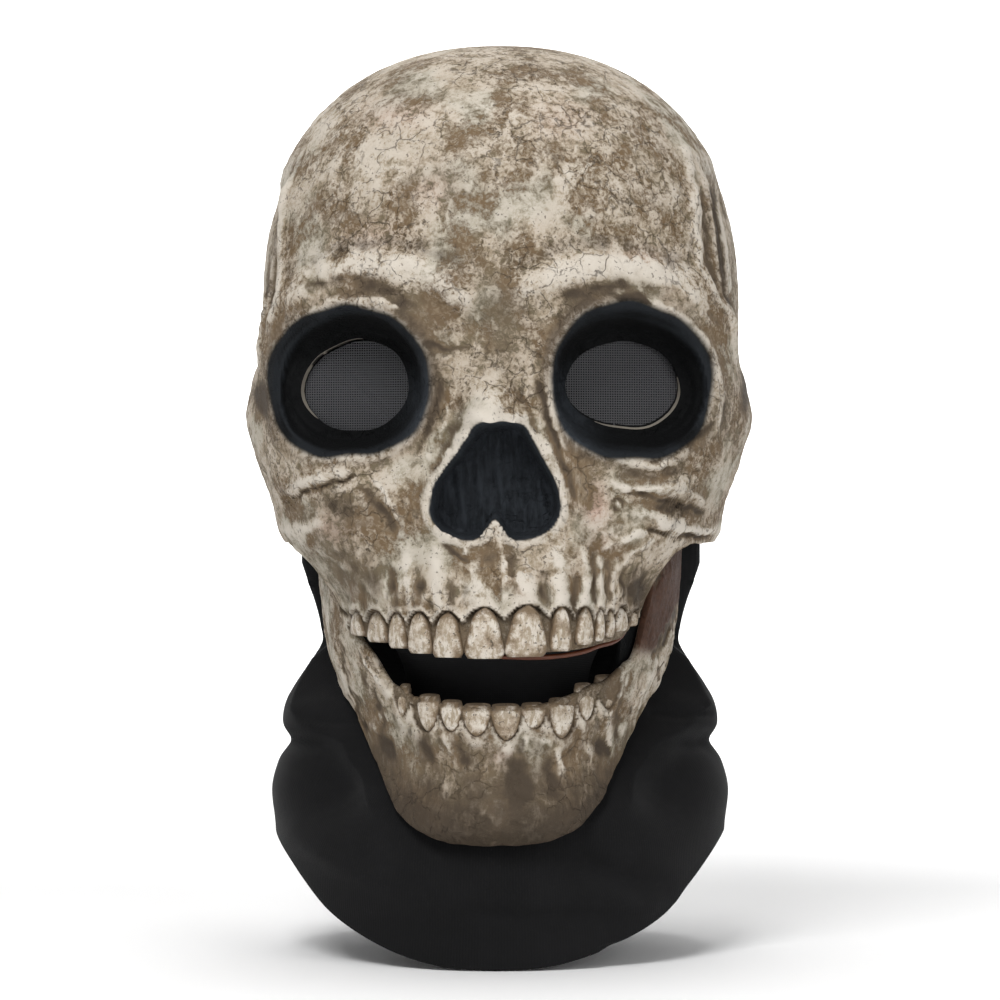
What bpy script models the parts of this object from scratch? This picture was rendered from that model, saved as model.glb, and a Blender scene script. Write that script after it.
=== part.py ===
"""Full-head skull mask: a hollow latex skull and jaw, net in the eyes, a mouth veil and a neck hood.

The mask faces -Y with +Z up. The origin is under the crown, where the top of a wearer's head bears.
Depths are measured down from the top of the crown, and angles round the head from the nose towards +X.
"""

import math

import bmesh
import bpy
import numpy as np

MM = 0.001

# Driving dimensions, in millimetres and degrees
LATEX = 2.6
CLOTH = 1.6
NET = 1.0
GAP = 0.3
JAW_PLAY, NAPE_PLAY = 1.2, 2.6
HOOD_ROWS = 14
DOME_HEIGHT = {"half_width": 100.0, "front": 86.0, "back": 112.0}
DOME_POWER = {"half_width": 2.3, "front": 2.4, "back": 2.25}
BACK_SQUARENESS = 2.1
BROW_DEPTH = 95.0
TEETH_DEPTH = 227.5

SOCKET_CENTRE, SOCKET_DEPTH = 51.4, 128.9
SOCKET_HALF_WIDTH, SOCKET_HALF_HEIGHT, SOCKET_SQUARENESS = 28.5, 26.5, 2.3
SOCKET_TILT = math.radians(7)
EYE_CENTRE, EYE_DEPTH = 48.6, 129.6
EYE_HALF_WIDTH, EYE_HALF_HEIGHT = 20.3, 16.3
EYE_FLAT_SHARE = 1.14
EYE_PLANE, EYE_PLANE_SLOPE = -73.0, 0.28
NET_MARGIN = 1.9
SNAP = 2.9

NOSE_TOP, NOSE_BOTTOM = 143.0, 185.5
NOSE_FLOOR, NOSE_SLOPE = -84.0, 4.5
SPINE_HEIGHT, SPINE_HALF_WIDTH = 6.5, 3.6

# Sections of the skull, each a squared oval with its own reach to the front and the back
SKULL_SECTIONS = {
    "depth":      (0.0, 60.0, 86.0, 98.0, 112.0, 125.0, 140.0, 156.0,
                   171.0, 187.0, 197.0, 208.0, 221.0, 232.0),
    "half_width": (92.3, 92.3, 92.3, 92.2, 92.0, 92.6, 92.8, 91.0,
                   86.0, 81.0, 74.0, 68.0, 65.0, 64.5),
    "front":      (103.0, 103.0, 103.0, 104.5, 100.5, 98.5, 98.0, 97.5,
                   98.0, 100.5, 103.0, 106.0, 108.0, 108.5),
    "back":       (119.0, 119.0, 119.0, 119.0, 118.5, 117.0, 112.0, 104.0,
                   93.0, 82.0, 76.0, 72.0, 70.0, 70.0),
    "squareness": (2.25, 2.25, 2.3, 2.5, 2.8, 3.0, 3.0, 2.9,
                   2.8, 2.6, 2.35, 2.1, 2.0, 2.0),
}
# The skull's lower edge, from the nape on the left, past the teeth, to the nape on the right
SKULL_EDGE = {
    "angle": (-180.0, -120.0, -90.0, -70.0, -58.0, -53.0, -49.0, -45.0, -42.0, -25.0, 0.0,
              22.0, 36.0, 38.5, 40.5, 43.5, 48.0, 56.0, 70.0, 90.0, 120.0, 180.0),
    "depth": (182.0, 184.0, 186.0, 186.5, 188.0, 193.0, 204.0, 216.0, 221.5, 225.5, 227.5,
              226.0, 221.5, 216.0, 204.0, 192.5, 187.5, 186.5, 186.5, 186.0, 184.0, 182.0),
}
# How far the middle of the face wanders sideways, as the hand-modelled original does
FACE_MIDDLE = {"depth": (90.0, 130.0, 165.0, 218.0, 300.0), "aside": (-1.8, -2.2, -0.8, 2.4, 0.0)}
NOSE_RIDGE = {
    "depth":   (98.0, 108.0, 116.0, 126.0, 135.0, 142.0, 147.0, 160.0, 176.0),
    "forward": (0.0, -1.5, 1.5, 6.0, 10.5, 13.0, 11.5, 4.0, 0.0),
    "spread":  (10.0, 9.0, 8.5, 9.0, 10.0, 11.5, 13.0, 20.0, 24.0),
}
NOSE_OPENING = {
    "depth":      (140.0, 143.0, 150.0, 160.0, 171.5, 178.0, 183.0, 187.0),
    "half_width": (7.5, 9.2, 13.0, 18.2, 23.2, 22.6, 18.5, 12.0),
}
# Where the teeth meet, as distances across the face
UPPER_TEETH = (-53.8, -47.5, -38.8, -31.6, -22.3, -10.8, 4.0, 19.8, 28.8, 36.0, 39.8, 43.2, 48.2, 52.0)
LOWER_TEETH = (-36.6, -30.4, -20.2, -11.9, -1.3, 9.7, 19.3, 29.4, 36.9, 45.0)
UPPER_ARCH_SIZE = {"half_width": 65.0, "front": 108.0}
LOWER_ARCH_SIZE = {"half_width": 58.5, "front": 92.5}
WIDE_TOOTH = 6.0
GUM_DEPTH, LOWER_GUM_DEPTH = 209.0, 258.0

JAW_SECTIONS = {
    "depth":      (180.0, 200.0, 215.0, 230.0, 240.0, 247.0, 256.0, 266.0, 277.0, 285.0, 291.0, 296.0),
    "half_width": (69.5, 68.5, 67.0, 64.5, 61.5, 58.5, 55.5, 53.0, 51.5, 50.5, 49.5, 47.5),
    "front":      (100.0, 100.0, 96.0, 94.0, 93.0, 92.5, 91.0, 88.5, 90.0, 92.0, 91.0, 86.0),
    "squareness": (2.0, 2.0, 2.0, 2.0, 2.0, 2.0, 2.0, 2.1, 2.25, 2.35, 2.4, 2.4),
}
JAW_EDGES = {
    "angle":  (-88.0, -80.0, -71.0, -60.0, -54.0, -47.0, -38.0, -30.0, -15.0, 0.0,
               15.0, 30.0, 36.0, 41.0, 44.5, 48.0, 54.0, 62.0, 71.0, 80.0, 88.0),
    "top":    (188.0, 187.0, 188.0, 196.0, 207.0, 222.0, 235.0, 242.5, 246.5, 247.0,
               246.5, 243.0, 239.0, 229.0, 214.0, 197.0, 189.0, 187.0, 187.0, 187.0, 188.0),
    "bottom": (220.0, 230.0, 238.5, 248.0, 254.5, 262.0, 271.0, 280.0, 293.0, 295.5,
               293.0, 280.0, 273.5, 268.5, 264.5, 261.0, 254.5, 246.5, 238.5, 230.0, 220.0),
}

HOOD_SECTIONS = {
    "depth":      (176.0, 190.0, 209.0, 225.0, 233.0, 241.0, 249.0,
                   256.0, 262.5, 270.0, 278.0, 293.0, 310.0, 345.0),
    "half_width": (84.0, 82.0, 77.0, 70.5, 72.0, 77.0, 81.0,
                   82.4, 81.0, 84.2, 86.4, 85.3, 84.0, 80.0),
    "front":      (60.0, 52.0, 40.0, 34.0, 36.0, 40.0, 46.0, 52.0, 58.0, 65.0, 71.0, 79.0, 84.0, 87.0),
    "back":       (90.0, 84.0, 73.0, 65.0, 65.5, 68.0, 71.0, 74.0, 75.0, 79.0, 82.0, 84.0, 85.0, 84.0),
}
HOOD_EDGES = {
    "angle":  (0.0, 12.0, 22.0, 32.0, 46.0, 58.0, 68.0, 76.0, 84.0, 92.0, 110.0, 180.0),
    "top":    (286.0, 284.0, 275.0, 266.0, 253.0, 241.0, 229.0, 212.0, 192.0, 176.0, 174.0, 172.0),
    "bottom": (340.0, 339.0, 336.0, 331.5, 323.0, 312.0, 304.0, 299.0, 296.0, 296.0, 305.0, 330.0),
}
# Dents and swells of the hood: side of the head, place, size and how far they stand in or out
HOOD_FOLDS = {
    "angle":  (-52.0, 52.0, 24.0, -18.0, -75.0, 75.0, 180.0, -140.0, 140.0),
    "depth":  (277.0, 276.0, 307.0, 326.0, 262.0, 262.0, 300.0, 285.0, 285.0),
    "width":  (13.0, 13.0, 12.0, 26.0, 30.0, 30.0, 20.0, 14.0, 14.0),
    "height": (12.0, 12.0, 13.0, 8.0, 3.5, 3.5, 30.0, 30.0, 30.0),
    "out":    (-7.0, -7.0, -5.0, -2.5, -2.0, -2.0, 4.0, -4.0, -4.0),
}

# Where the hood is tucked into the skull, and where it comes free of the skull's lower edge
TUCK_DEPTH, FREE_DEPTH = 184.0, 188.0
VEIL_ANGLE, VEIL_TOP, VEIL_BOTTOM, VEIL_SAG = 34.0, 214.0, 257.0, 16.0
# The flexible cheek webs, between the cheekbone, the upper jaw and the lower jaw
WEB_EDGES = {
    "angle":  (36.0, 41.0, 46.0, 54.0, 62.0),
    "top":    (196.0, 184.0, 178.0, 176.0, 176.0),
    "bottom": (248.0, 243.0, 236.0, 226.0, 216.0),
}
WEB_PLAY = 0.9


def curve(at, places, values):
    """A smooth line through a table's values, held level beyond its ends."""
    places, values = np.asarray(places, float), np.asarray(values, float)
    slopes = np.gradient(values, places)
    at = np.clip(at, places[0], places[-1])
    i = np.clip(np.searchsorted(places, at) - 1, 0, len(places) - 2)
    step = places[i + 1] - places[i]
    t = (at - places[i]) / step
    start = (1 + 2 * t) * (1 - t) ** 2 * values[i] + t * (1 - t) ** 2 * step * slopes[i]
    end = t**2 * (3 - 2 * t) * values[i + 1] + t**2 * (t - 1) * step * slopes[i + 1]
    return start + end


def ramp(value, low, high):
    """0 below low, 1 above high, and a smooth rise between."""
    t = np.clip((value - low) / (high - low), 0, 1)
    return t * t * (3 - 2 * t)


def swell(value, centre, width):
    """1 at the centre, falling away on both sides."""
    return np.exp(-(((value - centre) / width) ** 2))


def dome(depth, reach, side):
    """How far the crown's dome reaches at a depth, on its way down to its full reach."""
    height, power = DOME_HEIGHT[side], DOME_POWER[side]
    left = np.clip((height - depth) / height, 0, 1)
    return reach * (1 - left**power) ** (1 / power)


def oval_radius(angle, half_width, front, back, squareness):
    """Distance from the head's axis to a squared oval, at an angle from the nose."""
    ahead = np.cos(angle) > 0
    length = np.where(ahead, front, back)
    power = np.where(ahead, squareness, BACK_SQUARENESS)
    across, along = np.abs(np.sin(angle)) / half_width, np.abs(np.cos(angle)) / length
    return (across**power + along**power) ** (-1 / power)


def skull_section(angle, depth):
    depths = SKULL_SECTIONS["depth"]
    reach = {name: curve(depth, depths, SKULL_SECTIONS[name]) for name in ("half_width", "front", "back")}
    sides = [np.maximum(dome(depth, reach[name], name), 1e-6) for name in ("half_width", "front", "back")]
    return oval_radius(angle, *sides, curve(depth, depths, SKULL_SECTIONS["squareness"]))


def temple_relief(angle, depth):
    """The temple's hollow behind its ridge, the cheek arch, and the hollow under the arch."""
    turn = np.degrees(np.abs(angle))
    ridge = 1.6 * swell(turn, 57, 2.4) * ramp(depth, 46, 58) * (1 - ramp(depth, 104, 116))
    hollow = ramp(turn, 58, 63) * (1 - ramp(turn, 78, 104))
    hollow = hollow * ramp(depth, 42, 66) * (1 - ramp(depth, 112, 128))
    arch = swell(depth, 141, 9) * ramp(turn, 58, 68) * (1 - ramp(turn, 92, 108))
    under = swell(depth, 166, 8) * ramp(turn, 72, 82) * (1 - ramp(turn, 96, 112))
    return ridge - 4.5 * hollow + 2.4 * arch - 3.0 * under


def socket_reach(x, depth, side):
    """1 on the rim of the eye socket on that side, less inside it."""
    across = (x - face_middle(depth)) * side - SOCKET_CENTRE
    down = depth - SOCKET_DEPTH
    turned = np.abs(across * math.cos(SOCKET_TILT) + down * math.sin(SOCKET_TILT)) / SOCKET_HALF_WIDTH
    risen = np.abs(down * math.cos(SOCKET_TILT) - across * math.sin(SOCKET_TILT)) / SOCKET_HALF_HEIGHT
    power = SOCKET_SQUARENESS
    return (turned**power + risen**power) ** (1 / power)


def face_middle(depth):
    return curve(depth, FACE_MIDDLE["depth"], FACE_MIDDLE["aside"])


def eye_reach(x, depth, side):
    """1 on the edge of the eye hole on that side, less inside it."""
    across = (x - face_middle(EYE_DEPTH)) * side - EYE_CENTRE
    return np.hypot(across / EYE_HALF_WIDTH, (depth - EYE_DEPTH) / EYE_HALF_HEIGHT)


def eye_plane(x):
    """The flat floor of the socket, turned a little outwards."""
    return EYE_PLANE + EYE_PLANE_SLOPE * (np.abs(x - face_middle(EYE_DEPTH)) - EYE_CENTRE)


def nose_inset(x, depth):
    """How far inside the edge of the nose opening a place lies, or outside it if negative."""
    across = np.abs(x)
    side = curve(depth, NOSE_OPENING["depth"], NOSE_OPENING["half_width"]) - across
    bottom = NOSE_BOTTOM - SPINE_HEIGHT * swell(x, 0, SPINE_HALF_WIDTH) - 0.012 * (across - 9) ** 2 - depth
    return np.minimum(np.minimum(side * 0.9, depth - NOSE_TOP), bottom)


def face_relief(x, y, depth):
    """Brows, sockets, nose and cheekbones, pressed into the front of the skull."""
    aside = x - face_middle(depth)
    out = np.abs(aside)
    brow_line = 88 + 0.011 * (out - 40) ** 2
    y = y - 2.0 * swell(depth, brow_line, 6.5) * ramp(out, 4, 14) * (1 - ramp(out, 70, 84))
    y = y + 0.8 * swell(depth, brow_line + 8.5, 3.6) * ramp(out, 12, 20) * (1 - ramp(out, 62, 76))
    forward = curve(depth, NOSE_RIDGE["depth"], NOSE_RIDGE["forward"])
    y = y - forward * swell(out, 0, curve(depth, NOSE_RIDGE["depth"], NOSE_RIDGE["spread"]))
    y = y - 3.6 * swell(out, 66, 14) * swell(depth, 165, 11)
    y = y + 4.0 * swell(out, 36, 11) * swell(depth, 189, 12)
    for side in (-1, 1):
        rim = socket_reach(x, depth, side)
        y = y - 1.8 * swell(rim, 1.06, 0.08)
        inward = np.maximum(1 - rim, 0)
        past_floor = np.maximum(eye_reach(x, depth, side) - EYE_FLAT_SHARE, 0)
        share = inward / np.maximum(inward + 0.55 * past_floor, 1e-9)
        y = np.where(rim < 1, y + (np.maximum(eye_plane(x), y) - y) * ramp(share, 0, 1), y)
    inset = nose_inset(aside, depth)
    y = y - 1.2 * swell(inset, -1.2, 1.3) * ramp(depth, NOSE_TOP, NOSE_TOP + 8)
    return y + (np.maximum(NOSE_FLOOR, y) - y) * ramp(inset, 0, NOSE_SLOPE)


def tooth_angles(edges, arch):
    """The angles round the head at which the teeth of an arch meet."""
    angles = np.radians(np.linspace(-75, 75, 601))
    radius = oval_radius(angles, arch["half_width"], arch["front"], arch["front"], 2.0)
    return np.interp(edges, radius * np.sin(angles), angles)


def tooth_share(angle, edges):
    """Place across a tooth, -1 to 1, and whether there is a tooth there at all."""
    i = np.clip(np.searchsorted(edges, angle) - 1, 0, len(edges) - 2)
    share = 2 * (angle - edges[i]) / (edges[i + 1] - edges[i]) - 1
    return np.clip(share, -1, 1), (angle > edges[0]) & (angle < edges[-1])


UPPER_EDGES = tooth_angles(UPPER_TEETH, UPPER_ARCH_SIZE)
LOWER_EDGES = tooth_angles(LOWER_TEETH, LOWER_ARCH_SIZE)


def upper_teeth_relief(angle, depth):
    """Crowns that stand out of the gum, and the root ridges above them."""
    share, there = tooth_share(angle, UPPER_EDGES)
    gum = GUM_DEPTH + 3.0 * share**2
    crown = ramp(depth, gum - 0.6, gum + 1.6) * (1.7 - 3.6 * np.abs(share) ** 3)
    root = 1.1 * (1 - share**2) * ramp(depth, 190, 200) * (1 - ramp(depth, gum - 4, gum))
    return np.where(there, crown + root, 0)


def skull_edge(angle):
    turn = np.degrees(angle)
    share, there = tooth_share(angle, UPPER_EDGES)
    between = np.where(there, 2.2 * np.abs(share) ** 5, 0)
    return curve(turn, SKULL_EDGE["angle"], SKULL_EDGE["depth"]) - between


def skull_depth(angle, row):
    """Depth of a row, which is measured at the front and squeezed where the edge is higher."""
    lower = np.maximum(row - BROW_DEPTH, 0) / (TEETH_DEPTH - BROW_DEPTH)
    return np.minimum(row, BROW_DEPTH) + lower * (skull_edge(angle) - BROW_DEPTH)


def wrapped(angle):
    return np.remainder(angle + np.pi, 2 * np.pi) - np.pi


def onto_line(x, depth, distance, within):
    """Moves places that lie near a line onto it. The line is where the distance is zero."""
    here = distance(x, depth)
    across = (distance(x + 0.1, depth) - distance(x - 0.1, depth)) / 0.2
    down = (distance(x, depth + 0.1) - distance(x, depth - 0.1)) / 0.2
    move = np.where(np.abs(here) < within, here / np.maximum(across**2 + down**2, 0.25), 0)
    return x - move * across, depth - move * down


def drawn_to_rims(angle, row):
    """Moves grid places near the rim of a socket, its floor or the nose opening onto those lines."""
    depth = skull_depth(angle, row)
    radius = skull_section(angle, depth)
    x, y, new_depth = radius * np.sin(angle), -radius * np.cos(angle), depth
    socket_span = (SOCKET_HALF_WIDTH + SOCKET_HALF_HEIGHT) / 2
    eye_span = (EYE_HALF_WIDTH + EYE_HALF_HEIGHT) / 2
    for side in (-1, 1):

        def rim(a, b):
            return socket_span * (socket_reach(a, b, side) - 1)

        def floor(a, b):
            return eye_span * (eye_reach(a, b, side) - EYE_FLAT_SHARE)

        x, new_depth = onto_line(x, new_depth, rim, SNAP)
        x, new_depth = onto_line(x, new_depth, floor, SNAP * 0.7)
    for inset, within in ((0, 0.9), (NOSE_SLOPE, 0.66)):

        def edge(a, b):
            return nose_inset(a - face_middle(b), b) - inset

        x, new_depth = onto_line(x, new_depth, edge, SNAP * within)
    front = (y < -45) & (row > BROW_DEPTH) & (depth < 192)
    new_row = row + (new_depth - depth) * (TEETH_DEPTH - BROW_DEPTH) / (skull_edge(angle) - BROW_DEPTH)
    return np.where(front, np.arctan2(x, -y), angle), np.where(front, new_row, row)


def skull_skin(angle, row):
    """Outer surface of the skull, in millimetres."""
    angle = wrapped(angle)
    depth = skull_depth(angle, row)
    radius = skull_section(angle, depth) + temple_relief(angle, depth) + upper_teeth_relief(angle, depth)
    x, y = radius * np.sin(angle), -radius * np.cos(angle)
    facing = ramp(-y, 15, 40)
    y = y + (face_relief(x, y, depth) - y) * facing
    return np.stack([x, y, LATEX - depth], axis=-1)


def lower_teeth_relief(angle, depth):
    share, there = tooth_share(angle, LOWER_EDGES)
    gum = LOWER_GUM_DEPTH - 7.0 * share**2
    crown = (1 - ramp(depth, gum - 2, gum)) * (1.8 - 3.2 * share**2)
    root = 0.9 * (1 - share**2) * ramp(depth, gum, gum + 3) * (1 - ramp(depth, 264, 274))
    return np.where(there, crown + root, 0)


def jaw_edge(angle, name):
    return curve(np.degrees(angle), JAW_EDGES["angle"], JAW_EDGES[name])


def jaw_radius(angle, depth):
    places = JAW_SECTIONS["depth"]
    half_width, front, squareness = (
        curve(depth, places, JAW_SECTIONS[name]) for name in ("half_width", "front", "squareness")
    )
    return oval_radius(angle, half_width, front, half_width, squareness)


def jaw_skin(angle, row):
    """Outer surface of the jaw. The row runs from 0 on its upper edge to 1 on its lower edge."""
    top, bottom = jaw_edge(angle, "top"), jaw_edge(angle, "bottom")
    depth = top + (bottom - top) * row
    radius = jaw_radius(angle, depth) + lower_teeth_relief(angle, depth)
    radius = radius + 2.0 * swell(np.degrees(angle), 0, 12) * swell(depth, 283, 7)
    return np.stack([radius * np.sin(angle), -radius * np.cos(angle), LATEX - depth], axis=-1)


def hood_folds(angle, depth):
    out = 0.0
    for turn, down, width, height, reach in zip(*HOOD_FOLDS.values()):
        away = (np.degrees(angle) - turn + 180) % 360 - 180
        out = out + reach * swell(away, 0, width) * swell(depth, down, height)
    return out


def hood_radius(angle, depth, step):
    """The cloth's free shape, held inside the latex where it is tucked in."""
    places = HOOD_SECTIONS["depth"]
    half_width, front, back = (
        curve(depth, places, HOOD_SECTIONS[name]) for name in ("half_width", "front", "back")
    )
    radius = oval_radius(angle, half_width, front, back, 2.0) + hood_folds(angle, depth)
    jaw_bottom = jaw_edge(np.clip(angle, -1.53, 1.53), "bottom")
    in_jaw = jaw_radius(angle, np.minimum(depth, jaw_bottom)) - LATEX - GAP - JAW_PLAY
    past_jaw = ramp(np.abs(np.degrees(angle)), 92, 106)
    in_jaw = in_jaw + 1.2 * np.maximum(depth - jaw_bottom - step, 0) + 30 * past_jaw
    in_skull = skull_section(angle, np.minimum(depth, TUCK_DEPTH)) - LATEX - GAP - NAPE_PLAY
    in_skull = in_skull - 3.2 * swell(depth, 166, 10)
    in_skull = in_skull + 1.2 * np.maximum(depth - FREE_DEPTH - step, 0)
    return np.minimum(np.minimum(radius, in_jaw), in_skull)


def hood_skin(angle, row):
    angle = wrapped(angle)
    turn = np.abs(np.degrees(angle))
    top, bottom = (curve(turn, HOOD_EDGES["angle"], HOOD_EDGES[name]) for name in ("top", "bottom"))
    depth = top + (bottom - top) * row
    radius = hood_radius(angle, depth, (bottom - top) / HOOD_ROWS)
    return np.stack([radius * np.sin(angle), -radius * np.cos(angle), LATEX - depth], axis=-1)


def veil_skin(angle, row):
    """The black cloth behind the teeth, from inside the upper jaw to inside the lower one."""
    upper = skull_section(angle, VEIL_TOP) - LATEX - GAP - 1.6
    lower = jaw_radius(angle, VEIL_BOTTOM) - LATEX - GAP - 0.6
    radius = upper + (lower - upper) * row - VEIL_SAG * np.sin(np.pi * np.clip(row, 0, 1)) ** 0.8
    depth = VEIL_TOP + (VEIL_BOTTOM - VEIL_TOP) * row
    return np.stack([radius * np.sin(angle), -radius * np.cos(angle), LATEX - depth + 0 * angle], axis=-1)


def web_skin(angle, row):
    """A web of soft latex inside the cheek, on the side where the angles are positive."""
    turn = np.degrees(angle)
    top, bottom = (curve(turn, WEB_EDGES["angle"], WEB_EDGES[name]) for name in ("top", "bottom"))
    depth = top + (bottom - top) * row
    radius = np.minimum(skull_section(angle, depth), jaw_radius(angle, np.maximum(depth, 188)))
    radius = radius - LATEX - GAP - WEB_PLAY - 2.5 * swell(depth, 190, 12)
    return np.stack([radius * np.sin(angle), -radius * np.cos(angle), LATEX - depth], axis=-1)


def inner_skin(skin, thickness, row_step):
    """The surface a wall's thickness inside a skin, along directions averaged over a few millimetres."""

    def moved(angle, row):
        turn = math.radians(1.6)
        around = skin(angle + turn, row) - skin(angle - turn, row)
        down = skin(angle, row + row_step) - skin(angle, np.maximum(row - row_step, 0))
        normal = np.cross(down, around)
        length = np.linalg.norm(normal, axis=-1, keepdims=True)
        up = np.zeros_like(normal)
        up[..., 2] = 1
        normal = np.where(length > 1e-3, normal / np.maximum(length, 1e-9), up)
        return skin(angle, row) - thickness * normal

    return moved


def grid_skin(mesh, skin, angles, rows, draw=None):
    """Adds a grid of faces, one column for each angle and one line of vertices for each row."""
    made = bmesh.ops.create_grid(mesh, x_segments=len(angles) - 1, y_segments=len(rows) - 1, size=1)
    verts = made["verts"]
    columns = [round((v.co.x + 1) / 2 * (len(angles) - 1)) for v in verts]
    lines = [round((v.co.y + 1) / 2 * (len(rows) - 1)) for v in verts]
    places = np.asarray(angles)[columns], np.asarray(rows)[lines]
    points = skin(*(draw(*places) if draw else places)) * MM
    for vert, point in zip(verts, points):
        vert.co = point
    return verts


def open_eyes(mesh, verts):
    """Cuts the two eye holes and rounds their edges."""
    alive = set(verts)
    for side in (-1, 1):
        def reach(point):
            return float(eye_reach(point.x / MM, LATEX - point.z / MM, side))

        faces = {f for v in alive for f in v.link_faces}
        inside = [f for f in faces if f.calc_center_median().y < 0 and reach(f.calc_center_median()) < 1]
        bmesh.ops.delete(mesh, geom=inside, context="FACES")
        alive = {v for v in alive if v.is_valid}
        centre_x = side * EYE_CENTRE + float(face_middle(EYE_DEPTH))
        for vert in alive:
            if vert.is_boundary and vert.co.y < 0 and reach(vert.co) < 1.6:
                share = reach(vert.co)
                across = MM * (centre_x + (vert.co.x / MM - centre_x) / share) - vert.co.x
                vert.co.x += across
                vert.co.y += side * across * EYE_PLANE_SLOPE
                vert.co.z = MM * (LATEX - EYE_DEPTH + (vert.co.z / MM - LATEX + EYE_DEPTH) / share)


def border_loops(verts):
    """The open edges of a skin, as one list of edges for each loop."""
    left = {e for v in verts for e in v.link_edges if e.is_boundary}
    loops = []
    while left:
        loop, ends = [], [left.pop()]
        while ends:
            edge = ends.pop()
            loop.append(edge)
            near = {e for v in edge.verts for e in v.link_edges} & left
            left -= near
            ends += near
        loops.append(loop)
    return loops


def loop_centre(loop):
    points = [v.co for e in loop for v in e.verts]
    return sum(points, points[0] * 0) / len(points)


def goes_round(loop):
    """Whether a loop goes right round the head, past the nape."""
    return max(v.co.y for e in loop for v in e.verts) > 40 * MM


def turns_round(loop):
    """A loop's vertices with their angles round the head, and the first one again at the end."""
    verts = {v for e in loop for v in e.verts}
    turns = sorted(((math.atan2(v.co.x, -v.co.y), v) for v in verts), key=lambda turn: turn[0])
    return [*turns, (turns[0][0] + 2 * math.pi, turns[0][1])]


def close_round(mesh, outer, inner):
    """A ring of triangles between two loops that both go round the head."""
    outer, inner = turns_round(outer), turns_round(inner)
    i = j = 0
    while i < len(outer) - 1 or j < len(inner) - 1:
        here, there = outer[i][1], inner[j][1]
        if j == len(inner) - 1 or (i < len(outer) - 1 and outer[i + 1][0] <= inner[j + 1][0]):
            i += 1
            mesh.faces.new((here, there, outer[i][1]))
        else:
            j += 1
            mesh.faces.new((here, there, inner[j][1]))


def join_skins(mesh, outer, inner):
    """Closes the wall between two skins at each of their edges."""
    inner_loops = border_loops(inner)
    for loop in border_loops(outer):
        place = loop_centre(loop)
        near = min(inner_loops, key=lambda other: (loop_centre(other) - place).length)
        if goes_round(loop):
            close_round(mesh, loop, near)
        else:
            bmesh.ops.bridge_loops(mesh, edges=loop + near)


def walled(name, skin, thickness, row_step, outer_grid, inner_grid, eyes=False):
    """A thin-walled piece: an outer skin, a coarser inner one, and rims that join them."""
    mesh = bmesh.new()
    skins = []
    for surface, (angles, rows) in ((skin, outer_grid), (inner_skin(skin, thickness, row_step), inner_grid)):
        verts = grid_skin(mesh, surface, np.radians(angles), rows, drawn_to_rims if eyes else None)
        bmesh.ops.remove_doubles(mesh, verts=verts, dist=0.01 * MM)
        verts = [v for v in verts if v.is_valid]
        if eyes:
            open_eyes(mesh, verts)
            verts = [v for v in verts if v.is_valid]
        skins.append(verts)
    join_skins(mesh, *skins)
    bmesh.ops.recalc_face_normals(mesh, faces=mesh.faces)
    if mesh.calc_volume(signed=True) < 0:
        bmesh.ops.reverse_faces(mesh, faces=mesh.faces)
    return finished(name, mesh)


def finished(name, mesh):
    data = bpy.data.meshes.new(name)
    bmesh.ops.triangulate(mesh, faces=mesh.faces)
    mesh.to_mesh(data)
    mesh.free()
    data.shade_smooth()
    data.set_sharp_from_angle(angle=math.radians(40))
    piece = bpy.data.objects.new(name, data)
    bpy.context.scene.collection.objects.link(piece)
    return piece


def material(name, colour, roughness):
    made = bpy.data.materials.new(name)
    made.use_nodes = True
    shader = made.node_tree.nodes["Principled BSDF"]
    shader.inputs["Base Color"].default_value = (*colour, 1)
    shader.inputs["Roughness"].default_value = roughness
    shader.inputs["Metallic"].default_value = 0
    return made


def tooth_columns(edges):
    """Angles at each tooth's edges and its middle, or on both sides of the middle of a wide one."""
    wide = math.radians(WIDE_TOOTH)
    angles = []
    for start, end in zip(edges, edges[1:]):
        shares = (0.0, 0.27, 0.73) if end - start > wide else (0.0, 0.5)
        angles += [start + (end - start) * share for share in shares]
    return np.degrees([*angles, edges[-1]])


def skull():
    teeth = tooth_columns(UPPER_EDGES)
    left, right = teeth[0], teeth[-1]
    sides = [*np.linspace(-180, -95, 9), -86, -77, -69, -62, -58.5, -56, -53, -50, -47]
    other = [41, 44, 47.5, 51, 54, 56.5, 59, 63, 70, 78, 87, *np.linspace(95, 180, 9)]
    angles = np.array([*[a for a in sides if a < left - 1.5], *teeth, *[a for a in other if a > right + 1.5]])
    crown = BROW_DEPTH * (1 - np.cos(np.radians(np.linspace(0, 90, 10))))
    face = [101, 106, 111, 117, 123, 129, 135, 141, 144, 148, 153, 158, 164,
            170, 176, 181, 186, 191, 197, 203, 207.5, 211.5, 217, 223, TEETH_DEPTH]
    rows = np.array([*crown, *face])
    behind = [a for a in angles if abs(a) > 66]
    inner_angles = np.array([*behind[:11:2], *[a for a in angles if abs(a) <= 66], *behind[:-12:-2][::-1]])
    inner_rows = rows[np.r_[0:8:2, 9:28, 30, len(rows) - 1]]
    grids = (angles, rows), (inner_angles, inner_rows)
    return walled("skull_shell", skull_skin, LATEX, 1.6, *grids, eyes=True)


def jaw():
    teeth = tooth_columns(LOWER_EDGES)
    first, last = JAW_EDGES["angle"][0], JAW_EDGES["angle"][-1]
    angles = np.array([*np.linspace(first, teeth[0] - 4, 9), *teeth, *np.linspace(teeth[-1] + 4, last, 9)])
    rows = np.array([0, 0.06, 0.14, 0.22, 0.32, 0.44, 0.56, 0.68, 0.8, 0.9, 1])
    return walled("jaw_shell", jaw_skin, LATEX, 0.03, (angles, rows), (angles[::2], rows[::2]))


def hood():
    angles = np.linspace(-180, 180, 45)
    rows = np.linspace(0, 1, HOOD_ROWS + 1)
    return walled("neck_hood", hood_skin, CLOTH, 0.03, (angles, rows), (angles, rows))


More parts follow.
